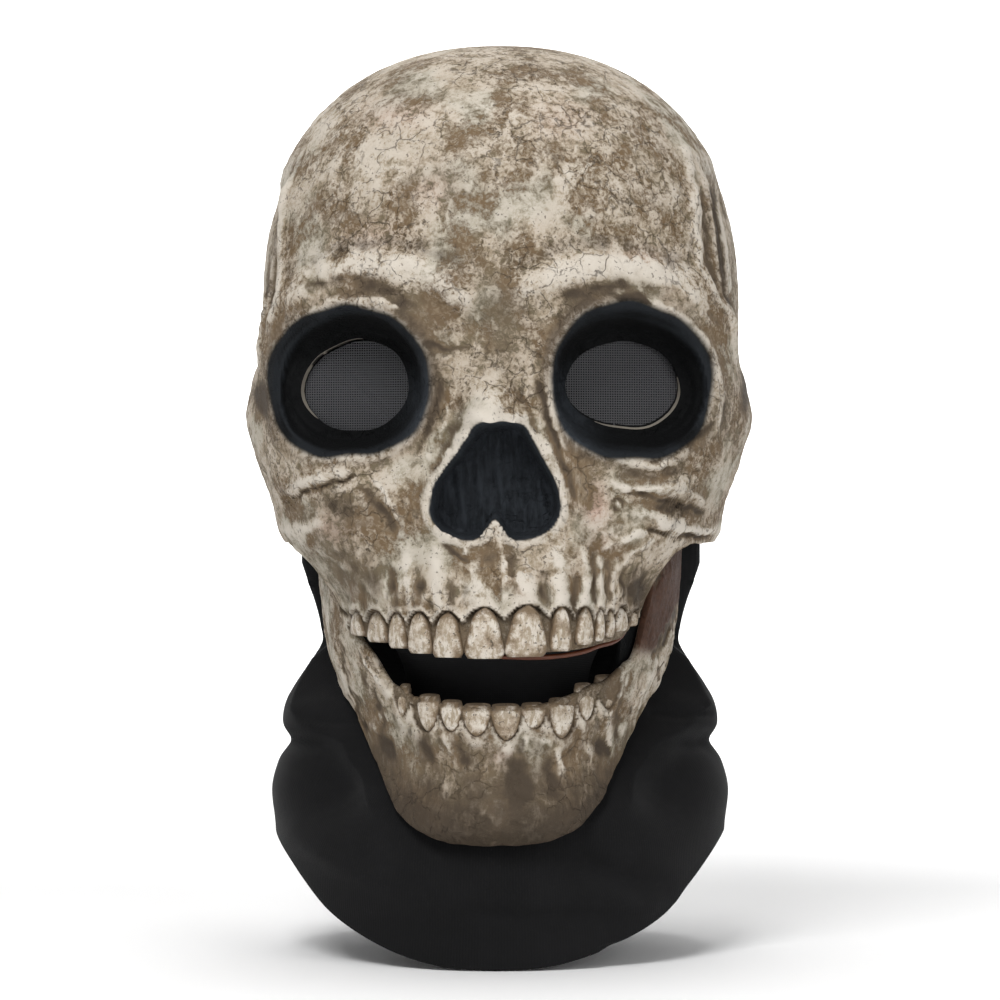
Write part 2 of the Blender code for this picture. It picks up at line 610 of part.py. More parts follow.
def veil():
    angles, rows = np.linspace(-VEIL_ANGLE, VEIL_ANGLE, 13), np.linspace(0, 1, 7)
    return walled("mouth_veil", veil_skin, CLOTH, 0.03, (angles, rows), (angles[::2], rows[::2]))


def web(side, name):
    mirror = np.array([side, 1, 1])
    angles = np.linspace(WEB_EDGES["angle"][0], WEB_EDGES["angle"][-1], 7)
    rows = np.linspace(0, 1, 9)

    def skin(angle, row):
        return web_skin(angle, row) * mirror

    return walled(name, skin, side * CLOTH, 0.03, (angles, rows), (angles[::2], rows[::2]))


def eye_net(side, name):
    """A flat oval of net, glued behind the eye hole."""
    mesh = bmesh.new()
    bmesh.ops.create_circle(mesh, cap_ends=True, segments=28, radius=1)
    face = list(mesh.faces)
    bmesh.ops.extrude_face_region(mesh, geom=face)
    back = {v for f in face for v in f.verts}
    middle = float(face_middle(EYE_DEPTH))
    clear = LATEX * math.hypot(1, EYE_PLANE_SLOPE) + GAP
    for vert in mesh.verts:
        x = middle + side * EYE_CENTRE + vert.co.x * (EYE_HALF_WIDTH + NET_MARGIN)
        down = EYE_DEPTH + vert.co.y * (EYE_HALF_HEIGHT + NET_MARGIN)
        y = float(eye_plane(np.float64(x))) + clear + (NET if vert in back else 0)
        vert.co = (x * MM, y * MM, (LATEX - down) * MM)
    bmesh.ops.recalc_face_normals(mesh, faces=mesh.faces)
    return finished(name, mesh)


def clear_scene():
    for piece in list(bpy.data.objects):
        bpy.data.objects.remove(piece)


def main():
    clear_scene()
    bone = material("painted_latex", (0.42, 0.36, 0.27), 0.62)
    black_cloth = material("black_cloth", (0.012, 0.012, 0.013), 0.85)
    black_net = material("eye_net", (0.03, 0.03, 0.032), 0.7)
    brown_latex = material("brown_latex", (0.064, 0.047, 0.036), 0.55)
    finishes = {
        skull(): bone,
        jaw(): bone,
        hood(): black_cloth,
        veil(): black_cloth,
        web(-1, "cheek_web_left"): brown_latex,
        web(1, "cheek_web_right"): brown_latex,
        eye_net(-1, "eye_net_left"): black_net,
        eye_net(1, "eye_net_right"): black_net,
    }
    for piece, finish in finishes.items():
        piece.data.materials.append(finish)


main()
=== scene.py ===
"""Dresses a packed skull mask: painted cast latex, cloth hood, mouth veil, eye nets, and a plain stage.

Sizes are in millimetres unless a name says otherwise. The mask faces -Y with +Z up, and the origin is
under the top of the crown. Depths are measured down from the top of the crown, and angles go round the
head from the nose towards +X.
"""

import math

import bmesh
import bpy
import numpy as np
from bpy.props import FloatProperty, FloatVectorProperty, IntProperty, PointerProperty
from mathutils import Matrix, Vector


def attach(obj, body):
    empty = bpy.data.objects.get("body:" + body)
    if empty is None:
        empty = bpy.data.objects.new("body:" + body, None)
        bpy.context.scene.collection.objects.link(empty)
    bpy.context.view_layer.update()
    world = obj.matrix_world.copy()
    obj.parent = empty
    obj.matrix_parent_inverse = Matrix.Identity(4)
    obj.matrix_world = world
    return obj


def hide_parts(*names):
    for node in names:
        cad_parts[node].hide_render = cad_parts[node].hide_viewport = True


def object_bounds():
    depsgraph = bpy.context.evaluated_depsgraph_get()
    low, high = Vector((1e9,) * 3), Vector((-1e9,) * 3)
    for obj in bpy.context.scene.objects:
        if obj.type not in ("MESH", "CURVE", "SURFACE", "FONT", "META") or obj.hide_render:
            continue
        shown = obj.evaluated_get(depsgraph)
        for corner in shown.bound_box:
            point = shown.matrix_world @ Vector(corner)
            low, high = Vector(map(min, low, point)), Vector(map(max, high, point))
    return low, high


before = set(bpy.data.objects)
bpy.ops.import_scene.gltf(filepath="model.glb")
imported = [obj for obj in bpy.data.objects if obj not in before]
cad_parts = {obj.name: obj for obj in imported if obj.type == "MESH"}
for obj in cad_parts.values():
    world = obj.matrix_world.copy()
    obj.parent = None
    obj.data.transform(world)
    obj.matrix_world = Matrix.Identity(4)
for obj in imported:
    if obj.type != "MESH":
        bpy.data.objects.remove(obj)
CAD_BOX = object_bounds()

bl_info = {
    "name": "Skull Mask",
    "version": (1, 0, 0),
    "blender": (4, 5, 0),
    "location": "View3D > Sidebar > Skull Mask",
    "description": "Builds the painted latex, cloth and net of a skull mask on its frame",
    "category": "Object",
}

MM = 0.001
# The photograph: the size of a pixel, its middle column and row, and the distance and turn of its camera
PIXEL, PICTURE_MIDDLE = 0.38, 500.0
CAMERA_AWAY, CAMERA_TURN = 1600.0, math.radians(1.2)
SENSOR_WIDTH = 36
# How thick the latex and the cloth are
LATEX, CLOTH = 2.6, 1.2
# Columns and rows of points over each sheet
JAW_GRID, HOOD_GRID, VEIL_GRID, WEB_GRID = (230, 103), (289, 121), (61, 41), (27, 61)
BARE_LATEX, RUST = "#8E877C", "#55280F"


def linear(hex_colour):
    """An sRGB hex value as linear red, green and blue."""
    values = [int(hex_colour[i:i + 2], 16) / 255 for i in (1, 3, 5)]
    return [v / 12.92 if v <= 0.04045 else ((v + 0.055) / 1.055) ** 2.4 for v in values]


# Form of the mask

# How deep the dome of the crown is on each side, and how square
CROWN_SIDES = {"half_width": (100.0, 2.3), "front": (86.0, 2.4), "back": (112.0, 2.25)}
BACK_SQUARENESS = 2.1
BROW_DEPTH = 95.0
TEETH_DEPTH = 227.5
TEETH_OVERHANG = 3.2
MIDDLE_DEPTH = 171.1
# A wave texture of scale 1 has a band every 0.314 units
WAVE_SHARE = 0.314
# How much stronger the drawn forms stand out, and how much darker their painted shade is, than the
# tables say
FORM_GAIN, SHADE_GAIN = 1.2, 1.3

SOCKET_CENTRE, SOCKET_DEPTH = 51.4, 128.9
SOCKET_HALF_WIDTH, SOCKET_HALF_HEIGHT, SOCKET_SQUARENESS = 28.5, 26.5, 2.3
SOCKET_TILT = math.radians(7)
EYE_CENTRE, EYE_DEPTH = 48.6, 129.6
EYE_HALF_WIDTH, EYE_HALF_HEIGHT = 20.3, 16.3
EYE_FLAT_SHARE = 1.14
EYE_PLANE, EYE_PLANE_SLOPE = -73.0, 0.28

NOSE_TOP, NOSE_BOTTOM = 143.0, 185.5
NOSE_FLOOR, NOSE_SLOPE = -84.0, 3.0
SPINE_HEIGHT, SPINE_HALF_WIDTH = 6.5, 3.6

SKULL_SECTIONS = {
    "depth":      (0.0, 60.0, 86.0, 98.0, 112.0, 125.0, 140.0,
                   156.0, 171.0, 187.0, 197.0, 208.0, 221.0, 232.0),
    "half_width": (92.3, 92.3, 92.3, 92.2, 92.0, 92.6, 92.8,
                   91.0, 86.0, 81.0, 74.0, 68.0, 65.0, 64.5),
    "front":      (103.0, 103.0, 103.0, 104.5, 100.5, 98.5, 98.0,
                   97.5, 98.0, 100.5, 103.0, 106.0, 108.0, 108.5),
    "back":       (119.0, 119.0, 119.0, 119.0, 118.5, 117.0, 112.0,
                   104.0, 93.0, 82.0, 76.0, 72.0, 70.0, 70.0),
    "squareness": (2.25, 2.25, 2.3, 2.5, 2.8, 3.0, 3.0,
                   2.9, 2.8, 2.6, 2.35, 2.1, 2.0, 2.0),
}
SKULL_EDGE = {
    "angle": (-180.0, -120.0, -90.0, -70.0, -58.0, -53.0, -49.0, -45.0, -42.0, -25.0, 0.0,
              22.0, 36.0, 38.5, 40.5, 43.5, 48.0, 56.0, 70.0, 90.0, 120.0, 180.0),
    "depth": (182.0, 184.0, 186.0, 186.5, 188.0, 193.0, 204.0, 216.0, 221.5, 225.5, 227.5,
              226.0, 221.5, 216.0, 204.0, 192.5, 187.5, 186.5, 186.5, 186.0, 184.0, 182.0),
}
FACE_MIDDLE = {"depth": (90.0, 130.0, 165.0, 218.0, 300.0), "aside": (-1.8, -2.2, -0.8, 2.4, 0.0)}
NOSE_RIDGE = {
    "depth":   (98.0, 108.0, 116.0, 126.0, 135.0, 142.0, 147.0, 160.0, 176.0),
    "forward": (0.0, -1.5, 1.5, 6.0, 10.5, 13.0, 11.5, 4.0, 0.0),
    "spread":  (10.0, 9.0, 8.5, 9.0, 10.0, 11.5, 13.0, 20.0, 24.0),
}
NOSE_OPENING = {
    "depth":      (140.0, 143.0, 148.0, 154.0, 165.0, 171.5, 178.0, 183.0, 187.0),
    "aside":      (1.9, 1.9, 1.9, 1.5, 0.3, 0.4, 0.2, 0.1, 0.1),
    "half_width": (7.0, 9.0, 11.1, 14.7, 21.7, 23.4, 22.6, 18.5, 12.0),
}
NOSE_ROUNDING = 0.7
JAW_SECTIONS = {
    "depth":      (180.0, 200.0, 215.0, 230.0, 240.0, 247.0, 256.0, 266.0, 277.0, 285.0, 291.0, 296.0),
    "half_width": (69.5, 68.5, 67.0, 64.5, 61.5, 58.5, 55.5, 53.0, 51.5, 50.5, 49.5, 47.5),
    "front":      (100.0, 100.0, 96.0, 94.0, 93.0, 92.5, 91.0, 88.5, 90.0, 92.0, 91.0, 86.0),
    "squareness": (2.0, 2.0, 2.0, 2.0, 2.0, 2.0, 2.0, 2.1, 2.25, 2.35, 2.4, 2.4),
}
JAW_EDGES = {
    "angle":  (-88.0, -80.0, -71.0, -60.0, -54.0, -47.0, -39.0, -33.0, -28.8, -24.7, -18.0, -12.7, 1.2,
               10.2, 19.1, 25.6, 30.8, 36.6, 42.3, 46.0, 50.0, 54.0, 62.0, 71.0, 80.0, 88.0),
    "top":    (188.0, 187.0, 188.0, 196.0, 205.0, 213.0, 223.0, 230.2, 237.5, 240.9, 244.2, 245.4, 246.6,
               245.7, 242.4, 239.1, 237.6, 232.2, 226.0, 208.0, 195.0, 189.0, 187.0, 187.0, 187.0, 188.0),
    "bottom": (220.0, 230.0, 238.5, 248.0, 254.5, 262.0, 270.0, 276.5, 281.3, 285.5, 291.0, 293.8, 295.5,
               294.5, 290.3, 284.0, 279.2, 272.9, 267.2, 263.2, 258.7, 254.5, 246.5, 238.5, 230.0, 220.0),
}
HOOD_SECTIONS = {
    "depth":      (176.0, 190.0, 200.0, 209.0, 217.0, 225.0, 232.0, 240.0,
                   247.0, 255.0, 262.5, 270.0, 278.0, 293.0, 310.0, 345.0),
    "half_width": (84.0, 78.6, 75.2, 71.8, 69.6, 68.4, 72.0, 77.3,
                   81.2, 82.6, 81.0, 84.2, 86.4, 85.3, 84.0, 80.0),
    "front":      (60.0, 52.0, 46.0, 40.0, 36.5, 34.0, 36.0, 39.5,
                   44.5, 51.0, 58.0, 65.0, 71.0, 79.0, 84.0, 87.0),
    "back":       (90.0, 84.0, 78.0, 73.0, 68.5, 65.0, 65.5, 67.7,
                   70.3, 73.7, 75.0, 79.0, 82.0, 84.0, 85.0, 84.0),
}
HOOD_EDGES = {
    "angle":  (0.0, 12.0, 22.0, 32.0, 46.0, 58.0, 68.0, 76.0, 84.0, 92.0, 110.0, 180.0),
    "top":    (286.0, 284.0, 275.0, 266.0, 253.0, 241.0, 229.0, 212.0, 192.0, 176.0, 174.0, 172.0),
    "bottom": (340.0, 339.0, 336.0, 331.5, 323.0, 312.0, 304.0, 299.0, 296.0, 296.0, 305.0, 330.0),
}
HOOD_FOLDS = {
    "angle":  (-52.0, 52.0, 24.0, -18.0, -75.0, 75.0, 180.0, -140.0, 140.0),
    "depth":  (277.0, 276.0, 307.0, 326.0, 262.0, 262.0, 300.0, 285.0, 285.0),
    "width":  (13.0, 13.0, 12.0, 26.0, 30.0, 30.0, 20.0, 14.0, 14.0),
    "height": (12.0, 12.0, 13.0, 8.0, 3.5, 3.5, 30.0, 30.0, 30.0),
    "out":    (-7.0, -7.0, -5.0, -2.5, -2.0, -2.0, 4.0, -4.0, -4.0),
}
WEB_EDGES = {
    "angle":  (36.0, 41.0, 46.0, 54.0, 62.0),
    "top":    (196.0, 184.0, 178.0, 176.0, 176.0),
    "bottom": (248.0, 243.0, 236.0, 226.0, 216.0),
}
VEIL_ANGLE, VEIL_TOP, VEIL_BOTTOM, VEIL_SAG = 34.0, 214.0, 257.0, 16.0


def curve(at, places, values):
    """A smooth line through a table's values, held level beyond its ends."""
    places, values = np.asarray(places, float), np.asarray(values, float)
    slopes = np.gradient(values, places)
    at = np.clip(at, places[0], places[-1])
    i = np.clip(np.searchsorted(places, at) - 1, 0, len(places) - 2)
    step = places[i + 1] - places[i]
    t = (at - places[i]) / step
    start = (1 + 2 * t) * (1 - t) ** 2 * values[i] + t * (1 - t) ** 2 * step * slopes[i]
    end = t**2 * (3 - 2 * t) * values[i + 1] + t**2 * (t - 1) * step * slopes[i + 1]
    return start + end


def ramp(value, low, high):
    """0 below low, 1 above high, and a smooth rise between."""
    t = np.clip((value - low) / (high - low), 0, 1)
    return t * t * (3 - 2 * t)


def swell(value, centre, width):
    """1 at the centre, falling away on both sides."""
    return np.exp(-(((value - centre) / width) ** 2))


def lumps(points, size, seed):
    """Soft random hills and hollows of about one size, from -1 to 1."""
    draw = np.random.default_rng(seed)
    total = 0.0
    for _ in range(14):
        way = draw.normal(size=3)
        way *= 2 * math.pi / (size * draw.uniform(0.7, 1.5)) / np.linalg.norm(way)
        total = total + np.sin(points @ way + draw.uniform(0, 2 * math.pi))
    return np.clip(total / 5.3, -1, 1)


def wrapped(angle):
    return np.remainder(angle + np.pi, 2 * np.pi) - np.pi


def dome(depth, reach, side):
    height, power = CROWN_SIDES[side]
    left = np.clip((height - depth) / height, 0, 1)
    return reach * (1 - left**power) ** (1 / power)


def oval_radius(angle, half_width, front, back, squareness):
    """Distance from the head's axis to a squared oval, at an angle from the nose."""
    ahead = np.cos(angle) > 0
    length = np.where(ahead, front, back)
    power = np.where(ahead, squareness, BACK_SQUARENESS)
    across, along = np.abs(np.sin(angle)) / half_width, np.abs(np.cos(angle)) / length
    return (across**power + along**power) ** (-1 / power)


def skull_section(angle, depth):
    depths = SKULL_SECTIONS["depth"]
    reach = {name: curve(depth, depths, SKULL_SECTIONS[name]) for name in ("half_width", "front", "back")}
    sides = [np.maximum(dome(depth, reach[name], name), 1e-6) for name in ("half_width", "front", "back")]
    return oval_radius(angle, *sides, curve(depth, depths, SKULL_SECTIONS["squareness"]))


def temple_relief(angle, depth):
    """The temple's hollow behind its ridge, the cheek arch, and the hollow under the arch."""
    turn = np.degrees(np.abs(angle))
    line = 56.5 + 3.5 * ramp(depth, 92, 118)
    ridge = 1.7 * swell(turn, line, 1.5) * ramp(depth, 46, 58) * (1 - ramp(depth, 112, 124))
    hollow = ramp(turn, line + 0.4, line + 3.4) * (1 - ramp(turn, 78, 104)) * ramp(depth, 42, 60)
    hollow = hollow * (1 - ramp(depth, 112, 128))
    arch = swell(depth, 141, 9) * ramp(turn, 58, 68) * (1 - ramp(turn, 92, 108))
    under = swell(depth, 166, 8) * ramp(turn, 72, 82) * (1 - ramp(turn, 96, 112))
    return ridge - 4.5 * hollow + 2.4 * arch - 3.0 * under


def face_middle(depth):
    return curve(depth, FACE_MIDDLE["depth"], FACE_MIDDLE["aside"])


def socket_reach(x, depth, side):
    """1 on the rim of the eye socket on that side, less inside it. The rim is a little uneven."""
    across = (x - face_middle(depth)) * side - SOCKET_CENTRE
    down = depth - SOCKET_DEPTH
    turned = np.abs(across * math.cos(SOCKET_TILT) + down * math.sin(SOCKET_TILT)) / SOCKET_HALF_WIDTH
    risen = np.abs(down * math.cos(SOCKET_TILT) - across * math.sin(SOCKET_TILT)) / SOCKET_HALF_HEIGHT
    power = SOCKET_SQUARENESS
    turn = np.arctan2(down, across)
    uneven = 1 + 0.016 * np.sin(3 * turn + side) + 0.012 * np.sin(5 * turn + 2 * side)
    uneven = uneven + 0.006 * np.sin(11 * turn)
    return (turned**power + risen**power) ** (1 / power) / uneven


def eye_reach(x, depth, side):
    """1 on the edge of the eye hole on that side, less inside it. It is cut by hand, a little unevenly."""
    across = (x - face_middle(EYE_DEPTH)) * side - EYE_CENTRE
    down = depth - EYE_DEPTH
    turn = np.arctan2(down, across)
    uneven = 1 + 0.035 * np.sin(2 * turn + 0.8 * side) + 0.022 * np.sin(3 * turn - side)
    uneven = uneven + 0.008 * np.sin(7 * turn)
    return np.hypot(across / EYE_HALF_WIDTH, down / EYE_HALF_HEIGHT) / uneven


def eye_plane(x):
    """The flat floor of the socket, turned a little outwards."""
    return EYE_PLANE + EYE_PLANE_SLOPE * (np.abs(x - face_middle(EYE_DEPTH)) - EYE_CENTRE)


def nose_inset(x, depth):
    """How far inside the edge of the nose opening a place lies, or outside it if negative."""
    aside = x - curve(depth, NOSE_OPENING["depth"], NOSE_OPENING["aside"])
    across = np.abs(aside)
    side = 0.9 * (curve(depth, NOSE_OPENING["depth"], NOSE_OPENING["half_width"]) - across)
    spine = SPINE_HEIGHT * swell(aside, 0, SPINE_HALF_WIDTH)
    bottom = NOSE_BOTTOM - spine - 0.012 * (across - 9) ** 2 - depth
    top = depth - NOSE_TOP - 0.008 * across**2
    least = np.minimum(np.minimum(side, top), bottom)
    total = sum(np.exp(-NOSE_ROUNDING * np.minimum(value - least, 30)) for value in (side, top, bottom))
    return least - np.log(total) / NOSE_ROUNDING


# Each tooth: where it starts and ends across the face, its lowest edge and the top of its neck
UPPER_TEETH = {
    "from": (-53.4, -46.8, -38.6, -31.3, -22.1, -10.3, 4.4, 20.3, 29.5, 36.3, 40.2, 43.3, 48.6),
    "to":   (-48.2, -38.9, -31.9, -22.5, -11.3, 3.7, 19.2, 28.0, 35.6, 39.5, 43.0, 47.9, 51.6),
    "tip":  (220.6, 222.5, 224.3, 225.9, 227.1, 227.4, 226.8, 225.0, 222.9, 221.8, 220.6, 218.6, 217.0),
    "neck": (211.0, 210.9, 211.1, 210.9, 210.8, 209.3, 208.4, 208.8, 208.9, 209.4, 210.0, 209.3, 210.8),
}
LOWER_TEETH = {
    "from": (-36.2, -28.5, -19.9, -11.7, -1.1, 9.9, 20.1, 29.9, 37.4),
    "to":   (-32.2, -20.7, -12.1, -1.5, 9.5, 18.4, 28.8, 36.4, 44.7),
    "tip":  (240.2, 243.5, 245.4, 246.5, 246.6, 246.3, 244.8, 239.8, 237.2),
    "neck": (249.4, 254.3, 254.1, 255.7, 257.0, 253.2, 256.8, 250.8, 247.5),
}
# How wide and how thick a crown is on its way from its neck, 0, to its edge, 1
UPPER_CROWN = {
    "down":  (0.0, 0.06, 0.14, 0.28, 0.5, 0.78, 0.92, 1.0),
    "width": (0.14, 0.36, 0.54, 0.7, 0.86, 1.02, 1.02, 0.88),
    "thick": (0.35, 0.6, 0.8, 0.97, 1.0, 0.86, 0.7, 0.45),
}
LOWER_CROWN = {
    "down":  (0.0, 0.08, 0.2, 0.4, 0.65, 0.88, 0.96, 1.0),
    "width": (0.2, 0.42, 0.6, 0.8, 0.96, 1.06, 1.06, 0.98),
    "thick": (0.4, 0.6, 0.82, 1.0, 1.0, 0.9, 0.8, 0.62),
}
# Half width and front of the arch that each row of teeth stands on, and how far behind it the teeth lie
UPPER_ARCH, LOWER_ARCH = (65.0, 108.0), (58.5, 92.5)
TEETH_BEHIND, UPPER_THICK, LOWER_THICK = 1.4, 2.4, 1.7
# How far the bone's edge rises between two teeth
UPPER_SCALLOP, LOWER_SCALLOP = 5.2, -6.5


def skull_edge(angle):
    """The skull's lower edge, drawn up behind the upper teeth, whose tips hang below it."""
    turn = np.abs(np.degrees(angle))
    raised = TEETH_OVERHANG * (1 + ramp(turn, 20, 33)) * (1 - ramp(turn, 38, 46))
    return curve(np.degrees(angle), SKULL_EDGE["angle"], SKULL_EDGE["depth"]) - raised


def photo_place(x, y, depth):
    """The column and the row at which the photograph shows a place."""
    near = 1 + y / CAMERA_AWAY
    column = PICTURE_MIDDLE + (x + y * math.sin(CAMERA_TURN)) / near / PIXEL
    return column, PICTURE_MIDDLE + (depth - MIDDLE_DEPTH) / near / PIXEL


def skull_depth(angle, row):
    """Depth of a row, which is measured at the front and squeezed where the edge is higher."""
    lower = np.maximum(row - BROW_DEPTH, 0) / (TEETH_DEPTH - BROW_DEPTH)
    return np.minimum(row, BROW_DEPTH) + lower * (skull_edge(angle) - BROW_DEPTH)


def tooth_rows(x, teeth):
    """Which tooth a place belongs to, how far across that tooth it is, and whether it has one."""
    starts, ends = np.asarray(teeth["from"]), np.asarray(teeth["to"])
    gaps = (ends[:-1] + starts[1:]) / 2
    i = np.searchsorted(gaps, x)
    left = np.concatenate([[starts[0] - 0.4], gaps])[i]
    right = np.concatenate([gaps, [ends[-1] + 0.4]])[i]
    return i, (2 * x - left - right) / (right - left), (x > starts[0] - 1) & (x < ends[-1] + 1)


def scallop(x, teeth, rise):
    """The edge of the bone over each tooth: an arch over its neck, with a point between it and the next."""
    i, share, there = tooth_rows(x, teeth)
    neck = np.asarray(teeth["neck"])[i]
    return i, share, there, neck + rise * np.clip(np.abs(share), 0, 1) ** 2.2


def root_relief(x, depth):
    """Bony ridges over the roots of the upper teeth, cut back behind the crowns."""
    i, share, there, edge = scallop(x, UPPER_TEETH, UPPER_SCALLOP)
    long = 15 + 5 * np.sin(i * 2.1)
    root = (1 - np.clip(np.abs(share), 0, 1) ** 2) * ramp(depth, edge - long, edge - 6)
    lip = swell(depth, edge - 1.1, 1.1) * 0.7
    behind = ramp(depth, edge - 0.3, edge + 0.5)
    return np.where(there, (1.5 * root + lip) * (1 - behind) - 1.5 * behind, 0)


def face_relief(x, y, depth):
    """Brows, sockets, nose and cheekbones, pressed into the front of the skull."""
    aside = x - face_middle(depth)
    out = np.abs(aside)
    brow_line = 88 + 0.011 * (out - 40) ** 2
    y = y - 2.0 * swell(depth, brow_line, 6.5) * ramp(out, 4, 14) * (1 - ramp(out, 70, 84))
    y = y + 0.8 * swell(depth, brow_line + 8.5, 3.6) * ramp(out, 12, 20) * (1 - ramp(out, 62, 76))
    forward = curve(depth, NOSE_RIDGE["depth"], NOSE_RIDGE["forward"])
    y = y - forward * swell(out, 0, curve(depth, NOSE_RIDGE["depth"], NOSE_RIDGE["spread"]))
    y = y - 3.6 * swell(out, 66, 14) * swell(depth, 165, 11)
    y = y + 4.0 * swell(out, 36, 11) * swell(depth, 189, 12)
    for side in (-1, 1):
        rim = socket_reach(x, depth, side)
        y = y - 1.1 * swell(rim, 1.08, 0.09)
        inward = np.maximum(1 - rim, 0)
        past_floor = np.maximum(eye_reach(x, depth, side) - EYE_FLAT_SHARE, 0)
        share = inward / np.maximum(inward + 0.55 * past_floor, 1e-9)
        wander = 1.6 * np.sin(np.arctan2(depth - EYE_DEPTH, aside * side - EYE_CENTRE) * 2 + side)
        rings = 0.9 * np.sin(share * 14 + wander) * ramp(share, 0.12, 0.3) * (1 - ramp(share, 0.75, 0.98))
        y = np.where(rim < 1, y + (np.maximum(eye_plane(x), y) - y) * ramp(share, 0, 1) + rings, y)
    inset = nose_inset(x, depth)
    y = y - 1.2 * swell(inset, -1.2, 1.3) * ramp(depth, NOSE_TOP, NOSE_TOP + 8)
    folds = 0.4 * np.sin(aside * 1.7 + 1.5 * np.sin(depth * 0.13)) + 0.25 * np.sin(aside * 0.9 + 2)
    return y + (np.maximum(NOSE_FLOOR, y) - y + folds * ramp(inset, 1.5, 5)) * ramp(inset, 0, NOSE_SLOPE)


def skull_skin(angle, row):
    """Outer surface of the skull."""
    angle = wrapped(angle)
    depth = skull_depth(angle, row)
    radius = skull_section(angle, depth) + temple_relief(angle, depth)
    x, y = radius * np.sin(angle), -radius * np.cos(angle)
    facing = ramp(-y, 15, 40)
    y = y + (face_relief(x, y, depth) - y) * facing
    roots = root_relief(x, depth) * facing
    x, y = x + roots * np.sin(angle), y - roots * np.cos(angle)
    return np.stack([x, y, LATEX - depth], axis=-1)


def jaw_edge(angle, name):
    return curve(np.degrees(angle), JAW_EDGES["angle"], JAW_EDGES[name])


def jaw_radius(angle, depth):
    places = JAW_SECTIONS["depth"]
    half_width, front, squareness = (
        curve(depth, places, JAW_SECTIONS[name]) for name in ("half_width", "front", "squareness")
    )
    return oval_radius(angle, half_width, front, half_width, squareness)


def lower_root_relief(x, depth):
    """Low ridges over the roots of the lower teeth, and a groove round the points of their crowns."""
    i, share, there, edge = scallop(x, LOWER_TEETH, LOWER_SCALLOP)
    long = 9 + 4 * np.sin(i * 1.7)
    root = (1 - np.clip(np.abs(share), 0, 1) ** 2) * ramp(depth, edge + 0.5, edge + 3)
    root = root * (1 - ramp(depth, edge + 3, edge + long))
    lip = swell(depth, edge + 1.0, 1.0) * 0.6
    behind = 1 - ramp(depth, edge - 0.5, edge + 0.2)
    return np.where(there, (1.0 * root + lip) * (1 - behind) - 0.9 * behind, 0)


def jaw_skin(angle, row):
    """Outer surface of the jaw. The row runs from 0 on its upper edge to 1 on its lower edge."""
    top, bottom = jaw_edge(angle, "top"), jaw_edge(angle, "bottom")
    depth = top + (bottom - top) * row
    radius = jaw_radius(angle, depth)
    radius = radius + lower_root_relief(radius * np.sin(angle), depth) * (np.cos(angle) > 0.3)
    radius = radius + 2.0 * swell(np.degrees(angle), 0, 12) * swell(depth, 283, 7)
    return np.stack([radius * np.sin(angle), -radius * np.cos(angle), LATEX - depth], axis=-1)


def hood_folds(angle, depth):
    out = 0.0
    for turn, down, width, height, reach in zip(*HOOD_FOLDS.values()):
        away = (np.degrees(angle) - turn + 180) % 360 - 180
        out = out + reach * swell(away, 0, width) * swell(depth, down, height)
    return out


def hood_radius(angle, depth):
    """The cloth's free shape, held inside the latex where it is tucked in."""
    places = HOOD_SECTIONS["depth"]
    half_width, front, back = (
        curve(depth, places, HOOD_SECTIONS[name]) for name in ("half_width", "front", "back")
    )
    radius = oval_radius(angle, half_width, front, back, 2.0) + hood_folds(angle, depth)
    jaw_bottom = jaw_edge(np.clip(angle, -1.53, 1.53), "bottom")
    in_jaw = jaw_radius(angle, np.minimum(depth, jaw_bottom)) - LATEX - 1.5
    in_jaw = in_jaw + 1.2 * np.maximum(depth - jaw_bottom - 3, 0)
    in_jaw = in_jaw + 30 * ramp(np.abs(np.degrees(angle)), 92, 106)
    in_skull = skull_section(angle, np.minimum(depth, 184)) - LATEX - 2.9 - 3.2 * swell(depth, 166, 10)
    in_skull = in_skull + 1.2 * np.maximum(depth - 196, 0)
    return np.minimum(np.minimum(radius, in_jaw), in_skull)


def hood_skin(angle, row):
    angle = wrapped(angle)
    turn = np.abs(np.degrees(angle))
    top, bottom = (curve(turn, HOOD_EDGES["angle"], HOOD_EDGES[name]) for name in ("top", "bottom"))
    depth = top + (bottom - top) * row
    radius = hood_radius(angle, depth)
    creases = drawn_forms(radius * np.sin(angle), -radius * np.cos(angle), depth, HOOD_FORMS, 0.0)[0]
    radius = radius + 1.5 * creases * ramp(row, 0, 0.2)
    return np.stack([radius * np.sin(angle), -radius * np.cos(angle), LATEX - depth], axis=-1)


def veil_skin(angle, row):
    """The black cloth behind the teeth, from inside the upper jaw to inside the lower one."""
    upper = skull_section(angle, VEIL_TOP) - LATEX - 2.0
    lower = jaw_radius(angle, VEIL_BOTTOM) - LATEX - 1.0
    radius = upper + (lower - upper) * row - VEIL_SAG * np.sin(np.pi * np.clip(row, 0, 1)) ** 0.8
    depth = VEIL_TOP + (VEIL_BOTTOM - VEIL_TOP) * row
    return np.stack([radius * np.sin(angle), -radius * np.cos(angle), LATEX - depth + 0 * angle], axis=-1)


def web_skin(angle, row):
    """A web of soft latex inside the cheek, on the side where the angles are positive."""
    turn = np.degrees(angle)
    top, bottom = (curve(turn, WEB_EDGES["angle"], WEB_EDGES[name]) for name in ("top", "bottom"))
    depth = top + (bottom - top) * row
    radius = np.minimum(skull_section(angle, depth), jaw_radius(angle, np.maximum(depth, 188)))
    radius = radius - LATEX - 1.2 - 2.5 * swell(depth, 190, 12)
    return np.stack([radius * np.sin(angle), -radius * np.cos(angle), LATEX - depth], axis=-1)


# Building tools

def corner_normals(points):
    """Outward directions of a grid of points that runs down in rows and round in columns."""
    down = np.gradient(points, axis=0)
    around = np.gradient(points, axis=1)
    normal = np.cross(down, around)
    return normal / np.maximum(np.linalg.norm(normal, axis=-1, keepdims=True), 1e-9)


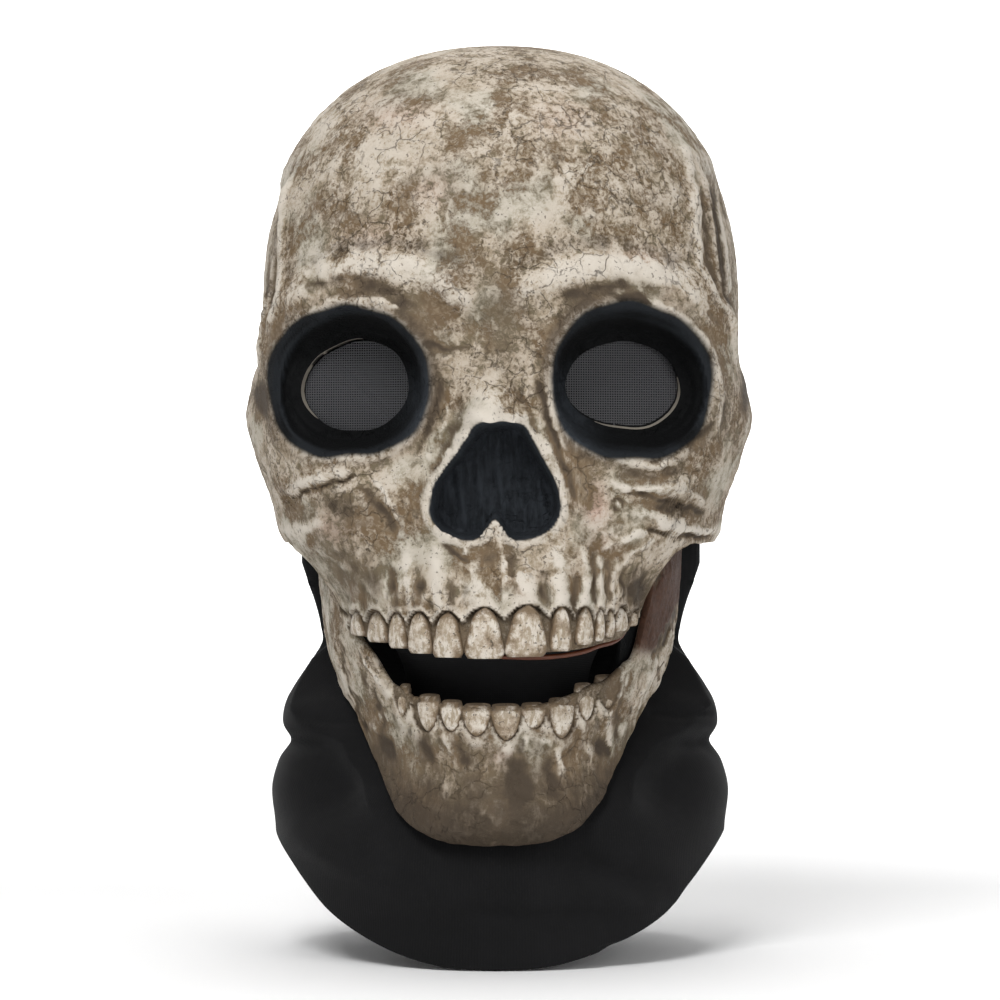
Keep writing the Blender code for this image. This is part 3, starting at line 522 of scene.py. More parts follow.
def softened(values, reach):
    """A grid averaged over a few of its cells each way."""
    for axis in (0, 1):
        pad = [(0, 0)] * values.ndim
        pad[axis] = (reach + 1, reach)
        total = np.cumsum(np.pad(values, pad, mode="edge"), axis=axis)
        size = values.shape[axis]
        high = np.take(total, np.arange(size) + 2 * reach + 1, axis=axis)
        values = (high - np.take(total, np.arange(size), axis=axis)) / (2 * reach + 1)
    return values


def offset_skin(skin, thickness, angles, rows, row_step):
    """Points a wall's thickness inside a skin, along directions averaged over a few millimetres."""
    turn = math.radians(1.6)
    angle, row = np.meshgrid(angles, rows)
    around = skin(angle + turn, row) - skin(angle - turn, row)
    down = skin(angle, row + row_step) - skin(angle, np.maximum(row - row_step, 0))
    normal = np.cross(down, around)
    length = np.linalg.norm(normal, axis=-1, keepdims=True)
    normal = np.where(length > 1e-3, normal / np.maximum(length, 1e-9), np.array([0, 0, 1.0]))
    return skin(angle, row) - thickness * normal


def rounded_rim(outer, inner, steps=3):
    """Rows that carry one edge over to another in a half round."""
    across = inner[-1] - outer[-1]
    along = outer[-1] - outer[-2]
    along = along / np.maximum(np.linalg.norm(along, axis=-1, keepdims=True), 1e-9)
    half = np.linalg.norm(across, axis=-1, keepdims=True) / 2
    turns = [math.pi * (k + 1) / (steps + 1) for k in range(steps)]
    return np.array([
        outer[-1] + across * (1 - math.cos(t)) / 2 + along * half * math.sin(t) * 0.8 for t in turns
    ])


def sheet_grid(first, last, counts):
    """Angles between two in degrees, and rows from 0 to 1."""
    columns, rows = counts
    return np.radians(np.linspace(first, last, columns)), np.linspace(0, 1, rows)


def grid_mesh(name, points, fields=None):
    """A grid of faces laid over points in rows and columns, with one value a vertex for each named field."""
    lines, columns = points.shape[:2]
    made = bmesh.new()
    bmesh.ops.create_grid(made, x_segments=columns - 1, y_segments=lines - 1, size=1)
    data = bpy.data.meshes.new(name)
    made.to_mesh(data)
    made.free()
    flat = np.empty(lines * columns * 3, np.float32)
    data.vertices.foreach_get("co", flat)
    place = flat.reshape(-1, 3)
    column = np.rint((place[:, 0] + 1) / 2 * (columns - 1)).astype(int)
    line = np.rint((place[:, 1] + 1) / 2 * (lines - 1)).astype(int)
    data.vertices.foreach_set("co", (points[line, column] * MM).astype(np.float32).reshape(-1))
    for field_name, values in (fields or {}).items():
        layer = data.attributes.new(field_name, "FLOAT", "POINT")
        layer.data.foreach_set("value", values[line, column].astype(np.float32))
    return data


def turn_outwards(made):
    bmesh.ops.recalc_face_normals(made, faces=made.faces)
    if made.calc_volume(signed=True) < 0:
        bmesh.ops.reverse_faces(made, faces=made.faces)


def close_ends(made):
    bmesh.ops.holes_fill(made, edges=[e for e in made.edges if e.is_boundary], sides=0)


def closed_mesh(data, within=0.01):
    """Merges what lies in one place, such as a seam or a pole, and turns all faces outwards."""
    made = bmesh.new()
    made.from_mesh(data)
    bmesh.ops.remove_doubles(made, verts=made.verts, dist=within * MM)
    turn_outwards(made)
    return made


def piece(name, mesh, finish, nodes=(), smooth_below=40):
    """A finished object from a mesh, with its material, that rides on the frame."""
    if isinstance(mesh, bmesh.types.BMesh):
        data = bpy.data.meshes.new(name)
        mesh.to_mesh(data)
        mesh.free()
    else:
        data = mesh
    data.shade_smooth()
    data.set_sharp_from_angle(angle=math.radians(smooth_below))
    made = bpy.data.objects.new(name, data)
    bpy.context.scene.collection.objects.link(made)
    data.materials.append(finish)
    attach(made, "root")
    if nodes:
        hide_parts(*nodes)
    return made


def line_distance(x, depth, points):
    """Distance to a bent line, and how far along it the nearest place is, from 0 to 1."""
    points = np.asarray(points, float)
    best = np.full(x.shape, 1e9)
    along = np.zeros(x.shape)
    lengths = np.hypot(*np.diff(points, axis=0).T)
    starts = np.concatenate([[0], np.cumsum(lengths)])
    for a, b, length, start in zip(points, points[1:], lengths, starts):
        t = np.clip(((x - a[0]) * (b[0] - a[0]) + (depth - a[1]) * (b[1] - a[1])) / length**2, 0, 1)
        away = np.hypot(x - a[0] - t * (b[0] - a[0]), depth - a[1] - t * (b[1] - a[1]))
        along = np.where(away < best, (start + t * length) / starts[-1], along)
        best = np.minimum(best, away)
    return best, along


def drawn_forms(x, y, depth, forms, wander=1.0):
    """What a table of forms adds to each place: how far it stands out in mm, and how dark it is painted,
    which is partly painted shade and, where negative, painted highlight.
    """
    column, row = photo_place(x, y, depth)
    place = np.stack([x, y, depth], axis=-1)
    wander = wander * (1 - 0.75 * ramp(np.abs(column - PICTURE_MIDDLE), 185, 222))
    column = column + wander * (2.2 * lumps(place, 9.0, 21) + 1.2 * lumps(place, 4.0, 22))
    row = row + wander * (2.2 * lumps(place, 9.0, 23) + 1.2 * lumps(place, 4.0, 24))
    uneven = 0.8 + 0.35 * lumps(place, 6.0, 25) * np.minimum(wander, 1)
    facing = ramp(-y, 2, 14)
    out, dark = np.zeros(x.shape), np.zeros(x.shape)
    for width, height, shade, points in forms:
        away, along = line_distance(column * PIXEL, row * PIXEL, np.array(points) * PIXEL)
        there = facing * np.exp(-((away / width) ** 2)) * uneven * (1 - 0.35 * (2 * along - 1) ** 4)
        out = out + height * there
        # Each place keeps the strongest dark or pale paint of the forms over it, partly painted shade and
        # highlight
        dark = np.where(np.abs(shade * there) > np.abs(dark), shade * there, dark)
    return out * FORM_GAIN, dark * np.where(dark > 0, SHADE_GAIN, 1)


# Forms of the face that the tables above leave out, as the photograph shows them. The columns are half width
# and height in mm (inwards if negative), how dark the paint is there (pale if negative), and a line of
# columns and rows of the photograph. The dark paint is partly the mask's own brown and cracks and partly
# painted shade beside the forms; the pale paint is partly a painted highlight on them.
FACE_FORMS = (
    # Brow and socket rim, on the photograph's left
    (4.2, 1.0, -0.35, ((284, 300), (310, 276), (350, 263), (400, 262), (440, 276), (464, 300))),
    (2.0, -0.6, 0.60, ((308, 286), (328, 279), (347, 277))),
    (2.8, -0.8, 0.75, ((352, 280), (372, 284), (392, 291), (408, 306))),
    (1.3, 0.8, -0.50, ((296, 330), (322, 304), (362, 298), (398, 306))),
    (1.0, -0.7, 0.55, ((424, 343), (449, 353), (466, 346))),
    # Brow and socket rim, on its right
    (4.2, 1.0, -0.35, ((556, 274), (590, 263), (640, 263), (690, 284), (716, 318))),
    (2.4, -0.7, 0.65, ((566, 294), (600, 288), (630, 283))),
    (2.2, -0.5, 0.40, ((640, 283), (672, 292), (694, 308))),
    (1.3, 0.9, -0.55, ((622, 296), (655, 301), (690, 323), (712, 352), (722, 392), (716, 432))),
    (1.8, -0.5, 0.75, ((618, 300), (636, 297), (648, 303))),
    (1.0, -0.7, 0.60, ((708, 312), (718, 326))),
    # Nose
    (2.0, 1.0, -0.75, ((472, 417), (486, 421), (500, 423), (514, 420), (528, 414))),
    (1.0, -0.5, 0.45, ((506, 376), (519, 392), (529, 414), (536, 434))),
    (1.2, 0.8, -0.50, ((532, 412), (545, 440), (556, 466), (564, 492), (563, 516), (553, 534))),
    (1.2, -0.7, 0.60, ((538, 380), (544, 408), (556, 442), (569, 474), (575, 500))),
    (0.9, 0.5, -0.35, ((548, 392), (557, 430), (571, 462))),
    (1.5, 1.0, -0.65, ((470, 422), (455, 446), (441, 470), (433, 492), (435, 518), (444, 537))),
    (1.2, -0.8, 0.60, ((462, 418), (446, 446), (431, 474))),
    (0.9, 0.5, -0.40, ((452, 392), (444, 424), (430, 456))),
    (1.0, -0.5, 0.50, ((468, 386), (460, 410), (450, 430))),
    (0.9, -0.5, 0.45, ((444, 378), (438, 410), (424, 440), (412, 462))),
    (0.8, 1.3, -0.85, ((443, 533), (456, 541), (468, 553))),
    (1.1, -1.0, 0.80, ((444, 543), (456, 551), (466, 560))),
    (0.9, 0.8, -0.70, ((474, 541), (486, 534), (495, 523), (503, 533), (514, 542))),
    # Cheek on the left
    (0.8, -1.5, 1.00, ((284, 503), (299, 497), (312, 488), (330, 484), (346, 482), (353, 475))),
    (1.6, 0.7, -0.55, ((288, 490), (312, 478), (346, 471))),
    (1.4, 0.4, -0.45, ((296, 462), (320, 470), (350, 466))),
    (2.3, -1.0, 0.80, ((364, 488), (380, 507), (393, 528))),
    (1.6, 0.7, -0.40, ((376, 482), (394, 506), (404, 536))),
    (5.0, -0.3, 0.50, ((326, 496), (348, 512))),
    (2.4, 0.8, -0.70, ((285, 528), (300, 532), (316, 522))),
    (3.4, -0.5, 0.50, ((293, 512), (304, 515))),
    (6.5, -0.6, 0.42, ((336, 545), (352, 578))),
    (5.0, -0.3, 0.40, ((370, 560), (374, 592))),
    (1.2, 0.6, -0.50, ((296, 547), (313, 577), (332, 612))),
    (0.9, -1.0, 0.90, ((322, 582), (336, 605), (348, 618))),
    # Cheek on the right
    (1.5, 0.7, -0.50, ((616, 462), (650, 467), (674, 462))),
    (2.6, -0.8, 0.65, ((622, 476), (660, 475), (690, 470))),
    (1.0, 1.1, -0.65, ((612, 482), (638, 492), (664, 488), (690, 493), (702, 501))),
    (1.2, -1.3, 0.95, ((630, 494), (660, 499), (688, 507), (702, 513))),
    (0.7, 0.5, -0.50, ((618, 489), (652, 493))),
    (3.2, -0.6, 0.55, ((650, 506), (688, 513))),
    (0.8, -0.8, 0.80, ((660, 508), (676, 500), (690, 514))),
    (0.6, -0.8, 0.95, ((611, 501), (618, 498), (624, 503), (621, 510), (613, 509), (611, 501))),
    (0.6, 0.5, -0.60, ((617, 504), (618, 505))),
    (2.0, 1.0, -0.80, ((642, 511), (664, 522), (690, 530), (716, 530))),
    (1.0, -1.3, 0.90, ((648, 530), (680, 536), (708, 538))),
    (1.4, 0.8, -0.45, ((601, 549), (623, 538), (648, 531))),
    (1.0, 0.5, -0.40, ((612, 575), (634, 550), (652, 541))),
    (3.5, -0.6, 0.70, ((640, 575), (634, 600))),
    (1.1, -0.6, 0.55, ((654, 460), (690, 446), (712, 424))),
    (2.4, -0.3, 0.40, ((724, 400), (722, 440))),
    # Upper jaw
    (3.0, 0.5, -0.80, ((470, 566), (478, 584), (480, 598))),
    (2.4, -1.0, 0.80, ((452, 582), (453, 606))),
    (2.2, 0.5, -0.65, ((436, 552), (436, 600))),
    (2.0, -0.9, 0.75, ((421, 572), (419, 606))),
    (2.2, 0.6, -0.70, ((405, 545), (406, 604))),
    (1.7, -0.7, 0.55, ((393, 570), (393, 606))),
    (0.8, 0.5, -0.50, ((387, 572), (387, 608))),
    (3.4, -0.7, 0.75, ((488, 552), (492, 560))),
    (3.2, -0.7, 0.70, ((508, 552), (512, 566))),
    (1.0, 0.5, -0.55, ((500, 545), (505, 575), (503, 600))),
    (3.2, 0.5, -0.70, ((522, 570), (526, 596))),
    (2.0, -0.9, 0.75, ((543, 576), (543, 604))),
    (2.4, 0.6, -0.60, ((559, 548), (560, 602))),
    (1.4, -0.8, 0.70, ((575, 580), (574, 612))),
    (2.0, 0.6, -0.60, ((584, 552), (587, 602))),
    (1.0, -0.9, 0.75, ((595, 556), (595, 602))),
    (1.2, 0.6, -0.50, ((601, 552), (601, 604))),
    (0.9, -0.7, 0.65, ((608, 562), (610, 604))),
    (0.8, 0.5, -0.50, ((616, 560), (615, 602))),
    (0.8, -0.6, 0.60, ((624, 566), (622, 604))),
    (1.0, -0.4, 0.60, ((465, 571), (466, 572))),
    (1.0, -0.4, 0.60, ((478, 571), (479, 572))),
    (1.0, -0.4, 0.60, ((487, 585), (488, 586))),
    (0.9, -0.4, 0.60, ((477, 597), (478, 597))),
    (0.9, -0.4, 0.60, ((437, 588), (438, 590))),
    # Temples
    (1.5, 1.3, -0.40, ((284, 170), (281, 230), (280, 292), (270, 322), (262, 352))),
    (1.6, -1.0, 0.45, ((276, 200), (274, 260), (272, 300))),
    (0.7, -0.9, 0.90, ((270, 215), (267, 250), (266, 296))),
    (1.7, 1.4, -0.40, ((684, 150), (694, 190), (699, 268), (716, 300), (742, 332))),
    (2.0, -1.2, 0.40, ((704, 190), (709, 262), (728, 300))),
    (0.7, -1.2, 1.00, ((712, 188), (720, 240), (727, 292), (742, 326))),
    (0.7, -0.9, 0.90, ((722, 200), (732, 232), (737, 270))),
    (0.6, 0.6, -0.50, ((716, 200), (725, 250), (731, 290))),
    (3.0, -0.2, 0.85, ((257, 386), (262, 410))),
    (2.2, -0.2, 0.85, ((746, 368), (745, 412))),
)
# Forms of the jaw, in the same way, with their painted shade and highlight
JAW_FORMS = (
    (1.6, 0.6, -0.50, ((326, 604), (336, 650), (352, 706))),
    (1.0, -0.6, 0.60, ((338, 640), (350, 690), (366, 730))),
    (1.0, 0.6, -0.60, ((352, 640), (372, 672), (392, 700))),
    (1.2, -0.6, 0.55, ((358, 668), (380, 712), (384, 734))),
    (2.0, 0.5, -0.40, ((384, 712), (372, 728))),
    (2.2, -0.8, 0.85, ((386, 742), (390, 754))),
    (1.6, 0.5, -0.45, ((402, 700), (408, 722))),
    (2.0, -0.6, 0.60, ((424, 736), (428, 758))),
    (1.4, 0.5, -0.50, ((444, 736), (450, 752))),
    (1.6, -0.6, 0.60, ((460, 748), (464, 764))),
    (1.8, 0.6, -0.45, ((496, 762), (506, 748))),
    (3.8, -0.5, 0.55, ((516, 764), (520, 796))),
    (0.8, 0.5, -0.60, ((526, 738), (529, 752))),
    (2.6, -0.4, 0.60, ((548, 764), (552, 792))),
    (1.0, 0.7, -0.70, ((546, 740), (557, 748), (562, 764), (560, 774))),
    (1.3, 0.5, -0.50, ((578, 722), (586, 742), (592, 760))),
    (2.0, -0.8, 0.80, ((600, 742), (603, 752))),
    (1.2, 0.5, -0.50, ((613, 700), (606, 730), (612, 756))),
    (1.0, -0.6, 0.60, ((622, 700), (616, 734))),
    (1.4, 0.6, -0.60, ((656, 664), (640, 700), (622, 732))),
    (0.9, -0.6, 0.60, ((666, 656), (650, 692))),
    (1.6, 0.6, -0.50, ((676, 612), (668, 650), (650, 694))),
    (2.6, 0.4, -0.10, ((470, 806), (510, 800), (548, 812))),
    (1.6, 0.3, -0.10, ((440, 778), (452, 800))),
    (1.4, 0.4, -0.15, ((590, 790), (574, 816), (560, 830))),
    (1.2, -0.5, 0.60, ((486, 820), (489, 826))),
    (1.1, -0.5, 0.60, ((516, 825), (518, 828))),
    (1.0, -0.9, 1.00, ((683, 592), (669, 630), (654, 654))),
    (0.9, -1.2, 1.00, ((669, 549), (663, 570), (655, 588))),
)
# Creases and dimples of the hood, in the same way
HOOD_FORMS = (
    (1.6, -1.6, 0.0, ((302, 719), (330, 722), (361, 721))),
    (1.6, -1.6, 0.0, ((654, 713), (684, 715), (712, 713))),
    (3.0, 1.4, 0.0, ((296, 708), (330, 704), (356, 706))),
    (3.0, 1.4, 0.0, ((660, 702), (690, 703), (714, 702))),
    (7.5, -2.6, 0.0, ((318, 752), (330, 776), (348, 800))),
    (7.5, -2.6, 0.0, ((700, 742), (684, 770), (660, 800))),
    (6.0, -2.2, 0.0, ((588, 860), (624, 880), (660, 888))),
    (5.0, 1.6, 0.0, ((600, 902), (640, 908), (668, 896))),
    (5.0, 1.5, 0.0, ((296, 836), (340, 864), (400, 884))),
    (4.0, -1.5, 0.0, ((470, 914), (530, 918), (600, 914))),
    (5.5, -1.4, 0.0, ((370, 862), (430, 892))),
    (1.2, -1.3, 0.0, ((602, 948), (625, 944), (654, 934))),
)


# The nodes of the materials: which inputs the values go to in order, which output is used, and, where they
# aren't the node's own, its settings
NODES = {
    "shader": {"kind": "ShaderNodeBsdfPrincipled", "inputs": (), "output": 0},
    "surface": {"kind": "ShaderNodeOutputMaterial", "inputs": ("Surface",), "output": None},
    "place": {"kind": "ShaderNodeTexCoord", "inputs": (), "output": "Object"},
    "flat_place": {"kind": "ShaderNodeTexCoord", "inputs": (), "output": "UV"},
    "moved": {"kind": "ShaderNodeMapping", "inputs": ("Vector", "Location"), "output": 0},
    "scaled": {"kind": "ShaderNodeMapping", "inputs": ("Vector", "Scale"), "output": 0},
    "field": {"kind": "ShaderNodeAttribute", "inputs": (), "output": "Fac"},
    "noise": {"kind": "ShaderNodeTexNoise", "output": 0,
              "inputs": ("Vector", "Scale", "Detail", "Roughness", "Distortion")},
    "warp": {"kind": "ShaderNodeTexNoise", "inputs": ("Vector", "Scale"), "output": "Color"},
    "cells": {"kind": "ShaderNodeTexVoronoi", "inputs": ("Vector", "Scale"), "output": "Distance",
              "settings": {"feature": "DISTANCE_TO_EDGE"}},
    "bands": {"kind": "ShaderNodeTexWave", "inputs": ("Vector", "Scale", "Distortion"), "output": "Fac"},
    "bent": {"kind": "ShaderNodeVectorMath", "inputs": (0, 1, 2), "output": 0,
             "settings": {"operation": "MULTIPLY_ADD"}},
    "add": {"kind": "ShaderNodeMath", "inputs": (0, 1), "output": 0, "settings": {"operation": "ADD"}},
    "subtract": {"kind": "ShaderNodeMath", "inputs": (0, 1), "output": 0,
                 "settings": {"operation": "SUBTRACT"}},
    "multiply": {"kind": "ShaderNodeMath", "inputs": (0, 1), "output": 0,
                 "settings": {"operation": "MULTIPLY"}},
    "spread": {"kind": "ShaderNodeMapRange", "inputs": (0, 1, 2, 3, 4), "output": 0,
               "settings": {"interpolation_type": "SMOOTHSTEP"}},
    "blend": {"kind": "ShaderNodeMix", "inputs": (0, 6, 7), "output": 2,
              "settings": {"data_type": "RGBA", "blend_type": "MIX"}},
    "bump": {"kind": "ShaderNodeBump", "inputs": ("Height", "Distance", "Strength"), "output": 0},
}


def node(tree, name, *values, **settings):
    """Adds a node of the table, gives its inputs values or other nodes' outputs, and returns its output."""
    row = NODES[name]
    made = tree.nodes.new(row["kind"])
    for setting, value in {**row.get("settings", {}), **settings}.items():
        setattr(made, setting, value)
    for key, value in zip(row["inputs"], values):
        if isinstance(value, bpy.types.NodeSocket):
            tree.links.new(value, made.inputs[key])
        else:
            made.inputs[key].default_value = value
    return None if row["output"] is None else made.outputs[row["output"]]


def new_material(name):
    made = bpy.data.materials.new(name)
    made.use_nodes = True
    made.node_tree.nodes.clear()
    tree = made.node_tree
    surface = node(tree, "shader")
    node(tree, "surface", surface)
    return made, tree, surface.node


def scale(size_mm):
    """The setting of a pattern whose patches are about one size across."""
    return 1 / (size_mm * MM)


def glaze(tree, colour, coat, share, most):
    """Lays a coat of paint over a colour, as far as a share and at most so far."""
    return node(tree, "blend", node(tree, "multiply", share, most), colour, rgba(coat))


def rgba(colour):
    return (*colour, 1)


def bone_material(name, paint):
    """Cast latex, painted with a sponge as aged bone: matt cream over olive brown, in ragged patches and
    specks, with a brown glaze in every hollow that is also painted shade, pale paint on every ridge that is
    also a painted highlight, painted shade on the chin and the sides, and black sprayed into the deep
    places, with painted highlights on the black's ridges."""
    made, tree, shader = new_material(name)
    place = node(tree, "place")
    drawn_down = node(tree, "scaled", place, (1.0, 1.0, 0.3))
    elsewhere = node(tree, "moved", place, (0.3, 0.1, 0.2))
    broad = node(tree, "noise", place, scale(30), 2.0, 0.5)
    other = node(tree, "noise", elsewhere, scale(21), 2.0, 0.5)
    ragged = node(tree, "noise", place, scale(7), 8.0, 0.76, 0.3)
    speckles = node(tree, "noise", place, scale(1.9), 4.0, 0.7, 0.6)
    streaks = node(tree, "noise", drawn_down, scale(2.2), 4.0, 0.68, 0.4)
    grain = node(tree, "noise", elsewhere, scale(1.3), 2.0, 0.6)
    stain_and_shade, ridge, runs = (node(tree, "field", attribute_name=name) for name in ("stain_and_shade", "ridge", "streak"))
    fine = node(tree, "blend", runs, speckles, streaks)
    pattern = node(tree, "blend", node(tree, "spread", broad, 0.38, 0.62, 0.3, 0.68), fine, ragged)
    shift = node(tree, "multiply", node(tree, "subtract", other, 0.5), 0.5)
    # The cream coat covers less where the paint is darker and more on ridges, partly as a painted highlight
    sponge = node(tree, "add", pattern, node(tree, "add", shift, node(tree, "multiply", stain_and_shade, -0.14)))
    sponge = node(tree, "add", sponge, node(tree, "multiply", ridge, 0.1))
    cover = node(tree, "spread", sponge, 0.40, 0.53)

    base = node(tree, "blend", node(tree, "spread", other, 0.42, 0.6), rgba(paint.brown), rgba(paint.olive))
    flecks = node(tree, "multiply", node(tree, "spread", fine, 0.46, 0.60), 0.6)
    base = node(tree, "blend", flecks, base, rgba(paint.tan))
    coat = node(tree, "blend", node(tree, "spread", ragged, 0.40, 0.58), rgba(paint.tan), rgba(paint.cream))
    coat = glaze(tree, coat, paint.grey, node(tree, "spread", broad, 0.5, 0.62), 0.5)
    coat = glaze(tree, coat, paint.pink, node(tree, "field", attribute_name="pink"), 0.8)
    colour = node(tree, "blend", cover, base, coat)
    # Pale paint on the sponge's brightest patches, also a painted highlight where the drawn forms are pale
    paler = node(tree, "spread", stain_and_shade, 0.25, -0.6, 0.25, 0.95)
    bright = node(tree, "multiply", node(tree, "spread", sponge, 0.5, 0.62), paler)
    colour = node(tree, "blend", bright, colour, rgba(paint.light))
    # Pale dry-brushed paint on ridges, which is also a painted highlight
    pale = node(tree, "multiply", ridge, node(tree, "spread", pattern, 0.38, 0.54))
    colour = glaze(tree, colour, paint.light, pale, 0.65)
    pits = node(tree, "spread", grain, 0.40, 0.32)
    pits = node(tree, "multiply", pits, node(tree, "spread", ragged, 0.4, 0.55))
    colour = glaze(tree, colour, paint.wash_and_shade, pits, 0.7)
    warp = node(tree, "warp", place, scale(6))
    bent = node(tree, "bent", warp, (0.009, 0.009, 0.009), place)
    cells = node(tree, "cells", bent, scale(9))
    lines = node(tree, "spread", cells, 0.045, 0.0)
    lines = node(tree, "multiply", lines, node(tree, "spread", ragged, 0.56, 0.46))
    wrinkles = node(tree, "multiply", lines, node(tree, "spread", broad, 0.56, 0.44))
    colour = glaze(tree, colour, paint.wash_and_shade, wrinkles, 0.6)
    uneven = node(tree, "multiply", node(tree, "subtract", 0.5, pattern), 0.9)
    # Brown glaze in the hollows: the mask's own brown there, and painted shade as well
    hollow = node(tree, "add", node(tree, "field", attribute_name="hollow"), uneven)
    colour = glaze(tree, colour, paint.wash_and_shade, node(tree, "spread", hollow, 0.08, 0.9), 0.8)
    # Broad brown patches, partly grime and partly painted shade on the sides, chin and beside the drawn forms
    dirt_and_shade_share = node(tree, "add", stain_and_shade, node(tree, "multiply", uneven, 1.3))
    colour = glaze(tree, colour, paint.dirt_and_shade, node(tree, "spread", dirt_and_shade_share, -0.02, 0.9), 0.85)
    # Heavy brown where the darkening is strongest: the chin's dark paint together with its painted shade
    deep = node(tree, "spread", node(tree, "add", stain_and_shade, node(tree, "multiply", uneven, 1.2)), 0.4, 1.05)
    colour = glaze(tree, colour, paint.wash_and_shade, deep, 0.85)
    shaded = [c * 0.7 for c in paint.flesh]
    skin = node(tree, "blend", node(tree, "spread", speckles, 0.35, 0.65), rgba(shaded), rgba(paint.flesh))
    colour = node(tree, "blend", node(tree, "field", attribute_name="flesh"), colour, skin)
    sprayed = node(tree, "field", attribute_name="black")
    sprayed = node(tree, "add", sprayed, node(tree, "multiply", uneven, 0.3))
    sprayed = node(tree, "spread", sprayed, 0.12, 0.8)
    # Blue-grey in the black paint: streaks in the nose, and a painted highlight on the ridges where the black
    # is thickest
    grey = node(tree, "multiply", runs, node(tree, "spread", streaks, 0.25, 0.75, 0.45, 1.0))
    highlight_in_black = node(tree, "multiply", node(tree, "spread", sprayed, 0.9, 1.0), 0.35)
    grey = node(tree, "add", grey, node(tree, "multiply", ridge, highlight_in_black))
    black_paint_and_highlight = node(tree, "blend", grey, rgba(paint.black), rgba(paint.slate_and_highlight))
    colour = node(tree, "blend", sprayed, colour, black_paint_and_highlight)
    tree.links.new(colour, shader.inputs["Base Color"])
    tree.links.new(node(tree, "spread", sprayed, 0, 1, 0.68, 0.8), shader.inputs["Roughness"])
    height = node(tree, "add", node(tree, "multiply", cover, 0.5), node(tree, "multiply", grain, 0.35))
    height = node(tree, "add", height, node(tree, "multiply", ragged, 1.0))
    height = node(tree, "add", height, node(tree, "multiply", wrinkles, -0.8))
    bump = node(tree, "bump", height, 0.4 * MM, 1.0)
    tree.links.new(bump, shader.inputs["Normal"])
    shader.inputs["IOR"].default_value = 1.5
    shader.inputs["Specular IOR Level"].default_value = 0.16
    return made


def cloth_material(name, colour):
    """Black polyester jersey, machine knitted: matt, with a faint pale bloom at its edges and a fine rib."""
    made, tree, shader = new_material(name)
    place = node(tree, "flat_place")
    # The real ribs are 0.4 mm apart. They are drawn 1.0 mm apart, the finest that shows.
    bands = []
    for way, pitch in (("X", 1.0), ("Y", 0.8)):
        bands.append(node(tree, "bands", place, WAVE_SHARE / (pitch * MM), 0.3, bands_direction=way))
    weave = node(tree, "multiply", *bands)
    worn = node(tree, "noise", node(tree, "place"), scale(45), 3.0, 0.6)
    dark, pale = [c * 0.8 for c in colour], [c * 1.25 for c in colour]
    shade = node(tree, "blend", node(tree, "spread", worn, 0.35, 0.65), rgba(dark), rgba(pale))
    shade = node(tree, "blend", node(tree, "multiply", weave, 0.4), shade, rgba([c * 2 for c in colour]))
    tree.links.new(shade, shader.inputs["Base Color"])
    bump = node(tree, "bump", weave, 0.1 * MM, 0.5)
    tree.links.new(bump, shader.inputs["Normal"])
    shader.inputs["Roughness"].default_value = 0.92
    shader.inputs["Specular IOR Level"].default_value = 0.15
    shader.inputs["Sheen Weight"].default_value = 0.05
    shader.inputs["Sheen Roughness"].default_value = 0.5
    return made


def plain_material(name, colour, roughness, size_mm, depth_mm, share=0.25):
    """A matt surface with a fine random grain in its colour and its relief."""
    made, tree, shader = new_material(name)
    place = node(tree, "place")
    grain = node(tree, "noise", place, scale(size_mm), 3.0, 0.6)
    dark, pale = [c * (1 - share) for c in colour], [c * (1 + share) for c in colour]
    shade = node(tree, "blend", grain, rgba(dark), rgba(pale))
    tree.links.new(shade, shader.inputs["Base Color"])
    bump = node(tree, "bump", grain, depth_mm * MM, 0.6)
    tree.links.new(bump, shader.inputs["Normal"])
    shader.inputs["Roughness"].default_value = roughness
    return made


# Settings that a user would change

def colour_setting(name, description, hex_colour):
    return FloatVectorProperty(
        name=name, description=description, default=linear(hex_colour), subtype="COLOR", min=0, max=1
    )


class BonePaint(bpy.types.PropertyGroup):
    cream: colour_setting("Cream", "Base coat of the bone, sponged on", "#AFA18F")
    # Pale paint, also used for painted highlights on ridges and on the drawn forms
    light: colour_setting("Light", "Pale paint on ridges and in the brightest patches", "#CDC5B9")
    tan: colour_setting("Tan", "Darker patches of the sponged coat", "#978872")
    grey: colour_setting("Grey", "Grey-green patches of the sponged coat", "#A3A193")
    pink: colour_setting("Pink", "Pink patches of the sponged coat", "#B09183")
    olive: colour_setting("Olive", "Olive undercoat", "#6E6854")
    brown: colour_setting("Brown", "Brown undercoat", "#6D5A43")
    # Brown for broad grimy patches, which also carries painted shade
    dirt_and_shade: colour_setting("Dirt", "Brown glaze over broad dirty patches", "#6B5C4A")
    # Dark brown for hollows, pits and crackle lines, and for painted shade in hollows and on the chin
    wash_and_shade: colour_setting("Wash", "Wash that lies in hollows", "#3E352C")
    flesh: colour_setting("Flesh", "Soft strip beside the jaw", "#51382B")
    black: colour_setting("Black", "Paint sprayed into the sockets, nose and mouth", "#050607")
    # Blue-grey streaks in the black paint, and painted highlights on its ridges
    slate_and_highlight: colour_setting("Slate", "Ridges within the sprayed paint", "#303439")


class SkullSettings(bpy.types.PropertyGroup):
    columns: IntProperty(
        name="Columns", description="Columns of faces round the skull", default=300, min=60, max=320
    )
    rows: IntProperty(
        name="Rows", description="Rows of faces from crown to teeth", default=226, min=60, max=280
    )
    lumps: FloatProperty(
        name="Lumps", description="Height of the hand-modelled hills", default=0.35 * MM, unit="LENGTH"
    )


